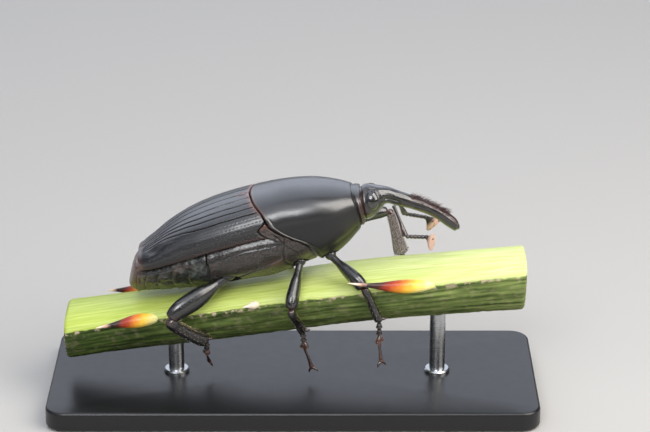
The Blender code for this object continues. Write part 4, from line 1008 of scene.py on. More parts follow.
def make_leg(leg, joints):
    pair = leg.split("_")[0]
    hip, knee, ankle, bend, tip = (np.array(j) + (0, 0, LIFT) for j in joints)
    thigh, shin = unit(knee - hip), unit(ankle - knee)
    normal = unit(np.cross(knee - hip, ankle - knee))
    radii = np.array(COXA_RADII[pair])
    reach = 1 / math.sqrt(((thigh / radii) ** 2).sum())

    # Coxa: a ball, sunk in its socket and painted dark all over as painted shade
    coxa = Parts()
    coxa.add(hip + ball_grid(48, 30, 0.05) * radii * COXA_SHOWN + (0, 0, COXA_RISE[pair]), painted_shade=1.0)
    keep(coxa.piece(f"leg_{leg}_coxa", SHIN), "black_cuticle", f"coxa_{leg}")

    # Femur
    half = FEMUR_HALF[pair]
    middle = knee + (shin - thigh) * KNEE_REACH * 0.25
    start, end = hip + thigh * (reach + GAP), knee - thigh * KNEE_REACH
    arch = 0.9 if leg == BROAD_SHIN else 0.0
    half = half * (1 - 0.3 * arch)
    stations = BLADE_PROFILE if pair == "hind" else FEMUR_PROFILE
    profile = [(t, w * half, w * half * LEG_THINNING) for t, w in stations]
    path = [start - thigh * 0.5, start, start + (end - start) * 0.5 + (0, 0, arch), end, middle]
    grid, t = tube_grid(path, profile, normal, 36, 54, 0.0, (0.3, 0.8))
    femur = Parts()
    # Near the hip the femur and its root are painted dark: painted shade
    femur.add(grid, rim=0.3 * hump(t, 1.0, 0.04), painted_shade=0.8 * hump(t, 0, 0.1))
    root = tube_grid([hip + thigh * reach * 0.3, start + thigh * 0.35],
        [(s, half * 0.56, half * 0.46) for s in (0, 0.6, 1)], normal)
    femur.add(root[0], painted_shade=1.0)
    keep(femur.piece(f"leg_{leg}_femur", LEG), "black_cuticle", f"femur_{leg}")

    # Tibia, its hook and a small spur
    half = TIBIA_HALF[pair]
    knee_end = knee + shin * KNEE_REACH * 0.8
    slim, flare, longer = (0.8, 0.85, 0.6) if leg == BROAD_SHIN else (1.0, 0.0, 0.05)
    profile = [(t, w * half * slim * (1 + flare * t), w * half * slim * LEG_THINNING * (1 + flare * t)) for t,
        w in TIBIA_PROFILE]
    sag = (thigh - shin) * (0.35 if pair == "hind" else 0.0)
    path = [middle - shin * 0.15 + thigh * 0.1, knee_end, (knee_end + ankle) / 2 + sag, ankle + shin * longer]
    grid, t = tube_grid(path, profile, normal, 36, 50, 0.045, (0.8, 0.7))
    tibia = Parts()
    tibia.add(grid, rim=0.3 * hump(t, 0.0, 0.05) + 0.4 * hump(t, 1.0,
        0.04) + (0.3 if leg == BROAD_SHIN else 0))
    hairy.append((leg, grid[6:-4] if leg == BROAD_SHIN else grid[14:-6]))
    forward = np.array((1.0, 0, 0))
    forward = unit(forward - shin * (forward @ shin))
    hook_profile = ((0.0, 0.36), (0.4, 0.27), (0.75, 0.17), (1.0, 0.03))
    grid, t = spike_grid(ankle - shin * 0.7 + forward * half * 0.3, shin * 0.5 + forward * HOOK_LENGTH,
        shin * 0.3, hook_profile, normal)
    tibia.add(grid, rim=0.5 * t)
    spur_profile = ((0.0, 0.16), (0.5, 0.11), (1.0, 0.02))
    grid, t = spike_grid(ankle - shin * 0.35 - forward * half * 0.6, shin * 0.5 - forward * 0.25, shin * 0.05,
        spur_profile, normal)
    tibia.add(grid, rim=0.6)
    keep(tibia.piece(f"leg_{leg}_tibia", SHIN), "black_cuticle", f"tibia_{leg}")
    inner = unit(np.cross(normal, shin))
    inner = inner if inner @ thigh < 0 else -inner
    fringes.append((leg, knee_end + shin * 0.3, ankle - shin * 0.3, inner, normal, half, sag))

    # Foot
    foot = Parts()
    half = TARSUS_HALF
    first, along, last = ankle + shin * GAP * 0.4, unit(bend - ankle), unit(tip - bend)
    across = unit(normal - last * (last @ normal))
    joint_profile = ((0.0, 0.62), (0.2, 0.72), (0.7, 1.15), (0.92, 1.2), (1.0, 0.9))
    for k, (a, b) in enumerate(((0.0, 0.3), (0.27, 0.58), (0.55, 0.86))):
        profile = [(t, w * half * 0.82, w * half) for t, w in joint_profile]
        ends = [first + (bend - first) * a, first + (bend - first) * b]
        grid, t = tube_grid(ends, profile, normal, 24, 16, 0, (0.8, 0.8))
        foot.add(grid, rim=0.5 * hump(t, 0.9, 0.08))
    profile = [(t, w * half * 0.8, w * half) for t, w in ((0.0, 0.6), (0.15, 0.6), (0.4, 0.55), (0.75, 0.72),
        (0.93, 0.88), (1.0, 0.6))]
    grid, t = tube_grid([first + (bend - first) * 0.78, bend, (bend + tip) / 2, tip], profile, normal, 24, 30,
        0, (0.8, 0.8))
    foot.add(grid, rim=0.12 + 0.4 * hump(t, 0.9, 0.05))
    under = unit(np.cross(along, normal))
    for side in (1, -1):
        lobe_profile = [(t, w * 0.6, w) for t, w in ((0.0, 0.24), (0.3, 0.36), (0.7, 0.42), (0.92, 0.32),
            (1.0, 0.2))]
        root = first + (bend - first) * 0.6
        end = root + along * 1.2 + normal * side * half * 1.15
        grid, t = tube_grid([root, (root + end) / 2 + normal * side * 0.08, end], lobe_profile, under, 24, 18,
            0, (0.5, 0.9))
        foot.add(grid, rim=0.35)
        soles.append((root, end, under, normal, side))
        claw_profile = ((0.0, 0.25), (0.3, 0.21), (0.7, 0.12), (1.0, 0.015))
        root = tip - last * 0.3 + across * side * 0.05
        grid, t = spike_grid(root, last * 0.86 + across * side * 0.71, across * side * 0.16, claw_profile,
            normal, 12, 16)
        foot.add(grid, rim=0.3 * (1 - t))
    keep(foot.piece(f"leg_{leg}_foot", FOOT), "black_cuticle", f"tarsus_{leg}")


# %% The six legs
for leg, joints in LEGS.items():
    make_leg(leg, joints)

# %% [markdown]
# Antennae are elbowed. The long first joint, the scape, is made as a tube. The six
# beads after it repeat along a line, so Geometry Nodes set them there. The club ends
# in a broad, spongy sense organ, pinkish tan with dark spots in the photo.

# %% A tree that sets beads on a line
bead_tree, given, result = new_tree("beads_on_a_line", (("Count", "Int", 6), ("Radius", "Float", 0.0003),
    ("Length", "Float", 0.0005)))
line = add_node(bead_tree, "GeometryNodeMeshToCurve", {"Mesh": (given, "Geometry")})
places = add_node(bead_tree, "GeometryNodeCurveToPoints", {"Curve": line, "Count": (given, "Count")},
    mode="COUNT")
ball = add_node(bead_tree, "GeometryNodeMeshUVSphere", {"Segments": 24, "Rings": 14, "Radius": 1.0})
size = add_node(bead_tree, "ShaderNodeCombineXYZ", {"X": (given, "Radius"), "Y": (given, "Radius"),
    "Z": (given, "Length")})
vary = add_node(bead_tree, "FunctionNodeRandomValue", {"Min": (0.92, 0.92, 0.95), "Max": (1.06, 1.06, 1.05),
    "Seed": (given, "Seed")}, data_type="FLOAT_VECTOR")
scale = add_node(bead_tree, "ShaderNodeVectorMath", {"Vector": size, "Vector_001": vary},
    operation="MULTIPLY")
beads = add_node(bead_tree, "GeometryNodeInstanceOnPoints", {"Points": places, "Instance": ball,
    "Rotation": (places, "Rotation"), "Scale": scale})
end_tree(bead_tree, given, result, beads)


# %% The spongy club finish
def club_finish():
    made, tree, shader = new_finish("spongy_club_chitin", "#c08a6c", 0.62, CHITIN_IOR)
    place = add_node(tree, "ShaderNodeTexCoord")
    reach = add_node(tree, "ShaderNodeAttribute", attribute_name="reach")
    spots = add_node(tree, "ShaderNodeTexNoise", {"Scale": per_mm(0.55), "Detail": 2.0,
        "Vector": (place, "Object")})
    dark = add_node(tree, "ShaderNodeMapRange", {"From Min": 0.6, "From Max": 0.68, "Value": spots})
    tan = add_node(tree, "ShaderNodeMix", {"A_Color": colour("#cdaa96"), "B_Color": colour("#5a2e20"),
        "Factor_Float": dark}, data_type="RGBA")
    horn = add_node(tree, "ShaderNodeMapRange", {"From Min": 0.35, "From Max": 0.62, "Value": (reach, "Fac")})
    whole = add_node(tree, "ShaderNodeMix", {"A_Color": colour("#1d0f0b"), "Factor_Float": horn,
        "B_Color": tan}, data_type="RGBA")
    fill(tree, shader, {"Base Color": whole})
    felt = add_node(tree, "ShaderNodeTexNoise", {"Scale": per_mm(0.12), "Detail": 2.0,
        "Vector": (place, "Object")})
    bump = add_node(tree, "ShaderNodeBump", {"Distance": 0.03 * MM, "Strength": 1.0, "Height": felt})
    fill(tree, shader, {"Normal": bump})
    return made


CLUB = club_finish()

# %% The antennae
ANTENNAE = {"right": ((15.0, -1.75, 16.0), (16.7, -3.2, 11.6), (20.0, -4.1, 11.86), (20.7, -5.6, 11.6),
    (0.0, 0.05, 1.0)), "left": ((15.2, 1.75, 15.9), (16.8, 3.2, 12.7), (20.1, 3.6, 11.95), (21.5, 4.1, 10.5),
    (0.64, 0.0, 0.77))}
CLUB_PROFILE = ((0.0, 0.3, 0.3), (0.3, 0.55, 0.38), (0.62, 1.05, 0.5), (0.85, 1.42, 0.56), (0.95, 1.4, 0.5),
    (1.0, 1.3, 0.42))
for word, joints in ANTENNAE.items():
    root, elbow, knuckle, tip = (np.array(j) + (0, 0, LIFT) for j in joints[:4])
    upper, lower = unit(elbow - root), unit(knuckle - elbow)
    normal = unit(np.cross(upper, lower))
    scape = Parts()
    profile = [(t, w, w) for t, w in ((0.0, 0.3), (0.15, 0.26), (0.6, 0.27), (0.85, 0.42), (1.0, 0.46))]
    sag = unit(np.cross(normal, upper)) * 0.12
    grid, t = tube_grid([root, (root + elbow) / 2 + sag, elbow + lower * 0.1], profile, normal, 24, 40, 0,
        (0.4, 0.8))
    scape.add(grid, rim=0.08 * t)
    keep(scape.piece(f"antenna_scape_{word}_fine", FEELER), "black_cuticle", f"antenna_scape_{word}")
    run = np.array([elbow + lower * 0.45, knuckle - lower * 0.12])
    mesh = bpy.data.meshes.new(f"bead_line_{word}")
    mesh.from_pydata((run * MM).tolist(), [(0, 1)], [])
    host = shown(f"bead_line_{word}", mesh)
    spacing = np.linalg.norm(run[1] - run[0]) / 5
    beads = grow(f"antenna_beads_{word}", host, bead_tree, {"Count": 6, "Radius": 0.34 * MM,
        "Length": spacing * 0.62 * MM, "Seed": 3}, FEELER)
    keep(beads, "black_cuticle", f"antenna_funicle_{word}")
    ahead = unit(tip - knuckle)
    club = Parts()
    broad = unit(joints[4])
    start = knuckle + unit(lower + ahead) * 0.1
    grid, t = tube_grid([start, tip], [(s, b, a) for s, a, b in CLUB_PROFILE], broad, 40, 30, 0, (0.7, 0.5))
    club.add(grid, reach=t)
    keep(club.piece(f"antenna_club_{word}_fine", CLUB), "antenna_club", f"antenna_club_{word}")

# %% [markdown]
# The jaws at the tip of the snout are two blunt hooks that bite sideways.

# %% The jaws
JAW_PROFILE = ((0, 0.36), (0.5, 0.36), (0.85, 0.22), (1, 0.06))  # share of the way, radius
jaws = Parts()
tip_z = smooth_curve(HEAD, 1, SNOUT_END)
for side in (1, -1):
    root = np.array((SNOUT_END - 0.3, side * 0.36, tip_z + 0.3))
    grid, t = spike_grid(root, (0.75, -side * 0.1, -0.85), (0.03, side * 0.1, 0), JAW_PROFILE, (0, 1, 0), 16,
        16, 1.2)
    jaws.add(body_to_world(grid), rim=0.25 * t)
keep(jaws.piece("jaws", SNOUT), "black_cuticle")

# %% [markdown]
# Bristles. A male carries a brush of dark red-brown bristles on the snout, and there is
# golden hair on the tail plate, the shins and the soles. All are the same thing at
# other sizes: a bent cone, set in great number on a patch of skin, leaning one way. One
# tree makes them all. Each bristle keeps its own small patch on a map of the skin, so a
# baked picture can colour it alone.

# %% A tree that grows bristles on a patch of skin
bristle_tree, given, result = new_tree("bristles_on_skin", (("Spacing", "Float", 0.0002),
    ("Length", "Float", 0.0008), ("Width", "Float", 0.00004), ("Lie", "Vector", (1.0, 0.0, 0.0)),
    ("Lean", "Float", 0.8), ("Scatter", "Float", 0.25), ("Shortest", "Float", 0.7)))
roots = add_node(bristle_tree, "GeometryNodeDistributePointsOnFaces",
    {"Density Max": 1e9, "Mesh": (given, "Geometry"), "Distance Min": (given, "Spacing"),
    "Seed": (given, "Seed")}, distribute_method="POISSON")
cone = add_node(bristle_tree, "GeometryNodeMeshCone", {"Vertices": 4, "Side Segments": 3, "Radius Top": 0.12,
    "Radius Bottom": 1.0, "Depth": 1.0}, fill_type="TRIANGLE_FAN")
spot = add_node(bristle_tree, "GeometryNodeInputPosition")
parted = add_node(bristle_tree, "ShaderNodeSeparateXYZ", {"Vector": spot})
tall = add_node(bristle_tree, "GeometryNodeStoreNamedAttribute",
    {"Name": "reach", "Geometry": cone, "Value": (parted, "Z")}, data_type="FLOAT", domain="POINT")
patch = add_node(bristle_tree, "ShaderNodeCombineXYZ", {"X": (parted, "X"), "Y": (parted, "Z")})
patch_size = add_node(bristle_tree, "ShaderNodeVectorMath", {"Scale": 0.0015, "Vector": patch},
    operation="SCALE")
mapped = add_node(bristle_tree, "GeometryNodeStoreNamedAttribute",
    {"Name": "own_patch", "Geometry": tall, "Value": patch_size}, data_type="FLOAT_VECTOR", domain="POINT")
slim = add_node(bristle_tree, "ShaderNodeCombineXYZ", {"Z": 1.0, "X": (given, "Width"),
    "Y": (given, "Width")})
long = add_node(bristle_tree, "ShaderNodeCombineXYZ", {"X": 1.0, "Y": 1.0, "Z": (given, "Length")})
size = add_node(bristle_tree, "ShaderNodeVectorMath", {"Vector": slim, "Vector_001": long},
    operation="MULTIPLY")
sized = add_node(bristle_tree, "ShaderNodeVectorMath", {"Vector": spot, "Vector_001": size},
    operation="MULTIPLY")
shaped = add_node(bristle_tree, "GeometryNodeSetPosition", {"Geometry": mapped, "Position": sized})
bow = add_node(bristle_tree, "ShaderNodeMath", {"Value_001": 0.28, "Value": (given, "Length")},
    operation="MULTIPLY")
grown = add_node(bristle_tree, "GeometryNodeInputNamedAttribute", {"Name": "reach"}, data_type="FLOAT")
bow_power = add_node(bristle_tree, "ShaderNodeMath", {"Value_001": 2.0, "Value": grown}, operation="POWER")
bow_here = add_node(bristle_tree, "ShaderNodeMath", {"Value": bow, "Value_001": bow_power},
    operation="MULTIPLY")
bow_step = add_node(bristle_tree, "ShaderNodeCombineXYZ", {"X": bow_here})
bent = add_node(bristle_tree, "GeometryNodeSetPosition", {"Geometry": shaped, "Offset": bow_step})
lie = add_node(bristle_tree, "ShaderNodeVectorMath", {"Vector": (given, "Lie"), "Scale": (given, "Lean")},
    operation="SCALE")
stray = add_node(bristle_tree, "FunctionNodeRandomValue", {"Min": (-1.0, -1.0, -1.0), "Max": (1.0, 1.0, 1.0),
    "Seed": (given, "Seed")}, data_type="FLOAT_VECTOR")
strayed = add_node(bristle_tree, "ShaderNodeVectorMath", {"Vector": stray, "Scale": (given, "Scatter")},
    operation="SCALE")
outwards = add_node(bristle_tree, "ShaderNodeVectorMath", {"Vector": (roots, "Normal"), "Vector_001": lie},
    operation="ADD")
heading = add_node(bristle_tree, "ShaderNodeVectorMath", {"Vector": outwards, "Vector_001": strayed},
    operation="ADD")
stand = add_node(bristle_tree, "FunctionNodeAlignRotationToVector", {"Vector": heading}, axis="Z")
turned = add_node(bristle_tree, "FunctionNodeAlignRotationToVector",
    {"Rotation": stand, "Vector": (given, "Lie")}, axis="X", pivot_axis="Z")
tallness = add_node(bristle_tree, "FunctionNodeRandomValue",
    {"Max": 1.0, "Min": (given, "Shortest"), "Seed": (given, "Seed")}, data_type="FLOAT")
standing = add_node(bristle_tree, "GeometryNodeInstanceOnPoints",
    {"Points": roots, "Instance": bent, "Rotation": turned, "Scale": tallness})
plain = add_node(bristle_tree, "GeometryNodeRealizeInstances", {"Geometry": standing})
skin_map = add_node(bristle_tree, "GeometryNodeInputNamedAttribute", {"Name": "skin_place"},
    data_type="FLOAT_VECTOR")
own_patch = add_node(bristle_tree, "GeometryNodeInputNamedAttribute", {"Name": "own_patch"},
    data_type="FLOAT_VECTOR")
bake_place = add_node(bristle_tree, "ShaderNodeVectorMath", {"Vector": skin_map, "Vector_001": own_patch},
    operation="ADD")
bake_map = add_node(bristle_tree, "GeometryNodeStoreNamedAttribute",
    {"Name": "OFBake", "Geometry": plain, "Value": bake_place}, data_type="FLOAT2", domain="CORNER")
painted = add_node(bristle_tree, "GeometryNodeSetMaterial", {"Geometry": bake_map,
    "Material": (given, "Finish")})
fill(bristle_tree, result, {"Geometry": painted})
print("bristle tree:", len(bristle_tree.nodes), "nodes")


# %% Patches of skin and what grows on them
def patch_host(name, grid):
    """A patch of skin that bristles grow on, with its place on a map of that skin."""
    rows, columns = grid.shape[:2]
    v, u = np.meshgrid(np.linspace(0.02, 0.98, rows), np.linspace(0.02, 0.98, columns), indexing="ij")
    mesh = bpy.data.meshes.new(name)
    mesh.from_pydata((grid.reshape(-1, 3) * MM).tolist(), [], grid_faces(rows, columns, False))
    mesh.attributes.new("skin_place", "FLOAT_VECTOR", "POINT").data.foreach_set("vector",
        np.stack([u, v, 0 * u], -1).astype(np.float32).ravel())
    return shown(name, mesh)


def facing(grid, outwards):
    """The grid, turned over if its faces look away from outwards."""
    side = np.cross(grid[0, 1] - grid[0, 0], grid[1, 0] - grid[0, 0])
    return grid if side @ np.asarray(outwards) > 0 else grid[:, ::-1]


def bristles(name, grid, finish, spacing, length, width, lie, lean, scatter=0.25, shortest=0.7, seed=1):
    values = {"Spacing": spacing * MM, "Length": length * MM, "Width": width * MM,
        "Lie": tuple(float(c) for c in lie), "Lean": lean, "Scatter": scatter, "Shortest": shortest,
        "Seed": seed}
    made = grow(name, patch_host(name + "_patch", grid), bristle_tree, values, finish)
    return keep(made, "black_cuticle")


def body_direction(x, y, z):
    return body_to_world(np.array((x, y, z), float)) - BODY_PLACE


# The brush: long bristles along the top of the snout's outer half, leaning to its tip
angle = np.linspace(-60, 60, 24)[None, :]
place = np.linspace(22.4, 27.4, 40)[:, None]
brush_skin = body_to_world(capsule(place, angle, -0.12))
ahead = body_direction(0.8, 0, -0.6)
bristles("snout_brush", facing(brush_skin, (0, 0, 1)), BRUSH_HAIR, 0.15, 0.95, 0.045, ahead, 0.6, 0.45, 0.4,
    4)

# The tail plate: short hair lying down and back
grid = tail_plate_skin[3:35, 14:-13]
bristles("tail_hair", facing(grid, (-1, 0, 0.3)), PALE_HAIR, 0.3, 0.55, 0.03, (-0.5, 0, -0.8), 1.0, 0.35, 0.5,
    6)

for leg, start, end, inner, normal, half, sag in fringes:
    rows = np.linspace(0, 1, 14)[:, None, None]
    across = np.linspace(-1, 1, 4)[None, :, None]
    grid = start + (end - start) * rows + inner * half * 0.8 + normal * across * half * 0.4
    grid = grid + sag * 3.6 * rows * (1 - rows)
    bristles(f"shin_fringe_{leg}", facing(grid, inner), PALE_HAIR, 0.17, 0.55, 0.028, unit(end - start), 1.0,
        0.3, 0.5, 8)
for k, (root, end, under, normal, side) in enumerate(soles):
    rows = np.linspace(0.25, 1, 6)[:, None, None]
    across = np.linspace(-1, 1, 5)[None, :, None]
    base = root + (end - root) * rows + under * 0.18 + unit(np.cross(end - root, under)) * across * 0.26
    bristles(f"sole_{k}", facing(base, under), PAD_HAIR, 0.09, 0.28, 0.028, unit(end - root), 0.4, 0.25, 0.7,
        9)
for leg, grid in hairy:
    grid = np.concatenate([grid, grid[:, :1]], axis=1)
    along = unit(grid[-1].mean(0) - grid[0].mean(0))
    outwards = grid[0, 0] - grid[0, :-1].mean(0)
    finish, apart, long, width = (SHIN_DOWN, 0.12, 0.26, 0.034) if leg == BROAD_SHIN else (PALE_HAIR, 0.62,
        0.36, 0.022)
    bristles(f"shin_hair_{leg}", facing(grid, outwards), finish, apart, long, width, along, 1.4, 0.3, 0.6, 5)

# %% [markdown]
# The perch is a leaf stalk of a palm: a broad, pale upper face, an edge with thorns, and
# a furrowed underside, painted dark green, partly its own colour and partly painted shade.
# The grid runs round the section. The furrows are deep only below, where the noise that
# makes them is stretched along the stalk.

# %% The stalk's form
# Place along X, half width, height of the edges, height of the underside
STALK = ((-34.5, 5.6, -3.2, -9.6), (-24.0, 5.1, -1.6, -8.0), (-13.0, 5.0, -0.1, -6.7), (0.0, 5.5, 2.0, -4.9),
    (12.0, 5.8, 3.6, -3.3), (24.0, 5.3, 4.9, -2.3), (35.0, 5.0, 6.0, -1.6))
STALK_CROWN, STALK_KEEL = 2.0, 1.7
STALK_ROWS, STALK_COLUMNS = 230, 210


def stalk_skin(x, turn, lift=0.0):
    """Points on the stalk; turn runs 0 to 180 over the top, from +Y to -Y, and on below."""
    x, turn, lift = np.broadcast_arrays(np.asarray(x, float), np.asarray(turn, float), lift)
    half, edge, under = (smooth_curve(STALK, column, x) for column in (1, 2, 3))
    cosine, sine = np.cos(np.radians(turn)), np.sin(np.radians(turn))
    low = 2 / STALK_KEEL
    y = np.where(sine >= 0, cosine * half, np.sign(cosine) * np.abs(cosine) ** low * half)
    z = np.where(sine >= 0, edge + STALK_CROWN * sine, edge - (edge - under) * np.abs(sine) ** low)
    reach = np.hypot(y, z - edge) + 1e-6
    return np.stack([x, y * (1 + lift / reach), edge + (z - edge) * (1 + lift / reach) + LIFT], -1)


def furrows(x, turn, seed, count):
    """Lengthwise furrows that wander and end, about -1 to 1."""
    chance = np.random.default_rng(seed)
    total = np.zeros(np.broadcast(x, turn).shape)
    for _ in range(count):
        often, drift, phase = chance.integers(14, 46), chance.uniform(-0.25, 0.25), chance.uniform(0, 6.28)
        total += np.sin(np.radians(turn) * often + drift * x + phase) * np.sin(x * chance.uniform(0.05,
            0.2) + phase)
    return total / math.sqrt(count)


x = np.linspace(STALK[0][0], STALK[-1][0], STALK_ROWS)[:, None]
turn = np.linspace(0, 360, STALK_COLUMNS, endpoint=False)[None, :]
wobble = 0.012 * np.sin(x * 1.1) + 0.012 * np.sin(x * 2.7 + 1.0) + 0.008 * np.sin(x * 6.1)
below = smooth_step(-np.sin(np.radians(turn)) + wobble, -0.01, 0.035)
ridge = hump(turn, 183, 4) + hump(turn, 357, 4)
ends = np.minimum(x - STALK[0][0], STALK[-1][0] - x)
lift = 0.1 * furrows(x, turn, 21, 7) * below + 0.012 * furrows(x, turn, 22, 5) * (1 - below)
lift = lift + ridge * (0.1 + 0.08 * np.sin(x * 1.7) * np.sin(x * 0.63 + 1))
lift = lift - 0.08 * np.abs(ripple(x, turn, 31, 3.0)) * below
lift = lift - curl(ends, 0.3) - 0.05
marks = {"below": below, "ridge": ridge, "across": np.stack([x + 0 * turn, turn * 0.1 + 0 * x,
    0 * x + 0 * turn], -1)}


# %% [markdown]
# The green of the stalk is a wax-covered skin. Long fibres just under it show as
# streaks that are 0.4 mm wide and run along the stalk, so the streak pattern reads the
# stalk's own marks, squeezed lengthwise. Pale scurf and brown scars gather at the edge.


# %% The stalk's finish
def stalk_finish():
    made, tree, shader = new_finish("waxy_palm_stalk", "#9fb35a", 0.42, 1.45)
    own = add_node(tree, "ShaderNodeAttribute", attribute_name="across")
    below = add_node(tree, "ShaderNodeAttribute", attribute_name="below")
    ridge = add_node(tree, "ShaderNodeAttribute", attribute_name="ridge")
    place = add_node(tree, "ShaderNodeTexCoord")
    squeezed = add_node(tree, "ShaderNodeMapping", {"Scale": (0.08, 1.0, 1.0), "Vector": (own, "Vector")})
    streaks = add_node(tree, "ShaderNodeTexNoise", {"Scale": 1.8, "Detail": 4.0, "Vector": squeezed})
    parted = add_node(tree, "ShaderNodeSeparateXYZ", {"Vector": (own, "Vector")})
    # Along the stalk the green grows paler towards the high end: partly a change of tone, partly painted
    # shade at the low end
    tone_and_shade_along = add_node(tree, "ShaderNodeMapRange", {"From Min": STALK[0][0], "From Max": STALK[-1][0],
        "Value": (parted, "X")})
    faces = {}
    # The underside's greens are far darker than the top's: partly its own colour, partly painted shade
    for face, (low_end_tones, high_end_tones) in {"top": (("#9db13f", "#b9c75f"), ("#bccb72", "#dae39e")),
        "under": (("#1d2c0a", "#4d6420"), ("#36491a", "#8b9c55"))}.items():
        shades = []
        for dark, light in (low_end_tones, high_end_tones):
            ramp = add_node(tree, "ShaderNodeValToRGB", {"Fac": streaks})
            set_stops(ramp, ((0.34, dark), (0.68, light)))
            shades.append(ramp)
        faces[face] = add_node(tree, "ShaderNodeMix", {"Factor_Float": tone_and_shade_along,
            "A_Color": (shades[0], "Color"), "B_Color": (shades[1], "Color")}, data_type="RGBA")
    green = add_node(tree, "ShaderNodeMix", {"Factor_Float": (below, "Fac"),
        "A_Color": (faces["top"], "Result_Color"), "B_Color": (faces["under"], "Result_Color")},
        data_type="RGBA")
    scurf = add_node(tree, "ShaderNodeTexNoise", {"Scale": per_mm(1.1), "Detail": 6.0,
        "Vector": (place, "Object")})
    specks = add_node(tree, "ShaderNodeMapRange", {"From Min": 0.52, "From Max": 0.62, "Value": scurf})
    nearby = add_node(tree, "ShaderNodeMath", {"Value_001": 0.16, "Value": (below, "Fac"),
        "Value_002": (ridge, "Fac")}, operation="MULTIPLY_ADD")
    scurfy = add_node(tree, "ShaderNodeMath", {"Value": specks, "Value_001": nearby}, operation="MULTIPLY",
        use_clamp=True)
    crusted = add_node(tree, "ShaderNodeMix", {"B_Color": colour("#b3a588"), "Factor_Float": scurfy,
        "A_Color": green}, data_type="RGBA")
    fill(tree, shader, {"Base Color": crusted})
    rough = add_node(tree, "ShaderNodeMapRange", {"To Min": 0.4, "To Max": 0.68, "Value": (below, "Fac")})
    fill(tree, shader, {"Roughness": rough})
    fibres = add_node(tree, "ShaderNodeBump", {"Distance": 0.03 * MM, "Strength": 1.0, "Height": streaks})
    crust = add_node(tree, "ShaderNodeBump", {"Distance": 0.08 * MM, "Strength": 0.6, "Height": scurf,
        "Normal": fibres})
    fill(tree, shader, {"Normal": crust, "Subsurface Weight": 0.08,
        "Subsurface Radius": (0.6 * MM, 1.0 * MM, 0.3 * MM)})
    return made


STALK_GREEN = stalk_finish()
stalk = ring_piece("palm_stalk", stalk_skin(x, turn, lift), STALK_GREEN, marks)
keep(stalk, "green_stalk", "perch_stalk")

# %% [markdown]
# A thorn is a spindle: swollen nearly halfway out, then drawn to a needle. Its
# colour runs along it, from green-yellow through orange and dark red to black, with a
# pale, dry tip. The mark "reach" carries that run.


# %% The thorns
def thorn_finish():
    made, tree, shader = new_finish("thorn_horn", "#e0c060", 0.36, 1.5)
    reach = add_node(tree, "ShaderNodeAttribute", attribute_name="reach")
    place = add_node(tree, "ShaderNodeTexCoord")
    cloud = add_node(tree, "ShaderNodeTexNoise", {"Scale": per_mm(0.9), "Detail": 3.0,
        "Vector": (place, "Object")})
    shifted = add_node(tree, "ShaderNodeMath", {"Value_001": 0.12, "Value": cloud,
        "Value_002": (reach, "Fac")}, operation="MULTIPLY_ADD")
    run = add_node(tree, "ShaderNodeValToRGB", {"Fac": shifted})
    stops = ((0.0, "#aabd58"), (0.16, "#c6d076"), (0.3, "#f0e596"), (0.44, "#f0c845"), (0.56, "#e08a22"),
        (0.67, "#a8361a"), (0.77, "#3c120d"), (0.87, "#150a09"), (0.93, "#caa089"), (1.0, "#efd6c2"))
    set_stops(run, stops)
    fill(tree, shader, {"Base Color": run})
    bump = add_node(tree, "ShaderNodeBump", {"Distance": 0.03 * MM, "Strength": 0.8, "Height": cloud})
    fill(tree, shader, {"Normal": bump, "Subsurface Weight": 0.1,
        "Subsurface Radius": (0.9 * MM, 0.5 * MM, 0.25 * MM)})
    return made


THORN = thorn_finish()
BUD = bristle_finish("dry_bud_scale", "#dcd2ac", "#f6e4d8", 0.6)
# X of the root, side, rise over the edge, step to the tip, bend of the middle, thickest radius
THORNS = {"thorn_front": (23.6, -1, -0.2, (-15.5, -4.2, 1.7), (0.0, 0.5, -0.85), 1.05),
    "thorn_hind": (-18.4, -1, -0.1, (-11.2, -1.9, -1.2), (0.0, 0.1, 0.0), 1.05),
    "thorn_far": (-20.2, 1, 0.35, (-8.6, 1.0, -0.2), (0.0, 0.0, 0.2), 0.85),
    "thorn_bud": (-4.6, -1, 0.1, (-3.0, -0.7, -0.35), (0.0, 0.0, 0.0), 0.6)}
THORN_PROFILE = ((-0.2, 0.03), (-0.1, 0.13), (0.0, 0.27), (0.1, 0.46), (0.2, 0.68), (0.32, 0.91), (0.44, 1.0),
    (0.56, 0.82), (0.68, 0.54), (0.8, 0.32), (0.9, 0.2), (1.0, 0.03))
THORN_SUNK = 0.9
for name, (x, side, rise, step, bend, radius) in THORNS.items():
    half, edge = smooth_curve(STALK, 1, x), smooth_curve(STALK, 2, x)
    root = np.array((x, side * (half - THORN_SUNK * radius), edge + rise + LIFT))
    profile = [(t, share * radius) for t, share in THORN_PROFILE]
    grid, t = spike_grid(root, step, bend, profile, (0, 1, 0), 40, 80, start=THORN_PROFILE[0][0])
    sunk = 0.45 * radius * (1 - smooth_step(t, THORN_PROFILE[0][0], 0.2))
    belly = (grid[..., 2] - grid[..., 2].mean(1, keepdims=True)) / radius
    grid = grid - sunk[:, None, None] * np.array((0, side * 0.85, 0.5))
    thorn = Parts()
    thorn.add(grid, reach=np.clip(t, 0, 1)[:, None] + 0.08 * belly * hump(t, 0.5, 0.3)[:, None])
    keep(thorn.piece(name, BUD if name == "thorn_bud" else THORN), "green_stalk")

# %% [markdown]
# The cut ends show what a palm stalk is inside: pale pith with hundreds of hard, dark
# fibre strands, each about 0.3 mm wide. They repeat over a face, so Geometry Nodes set
# a short peg on each of many evenly spread points.

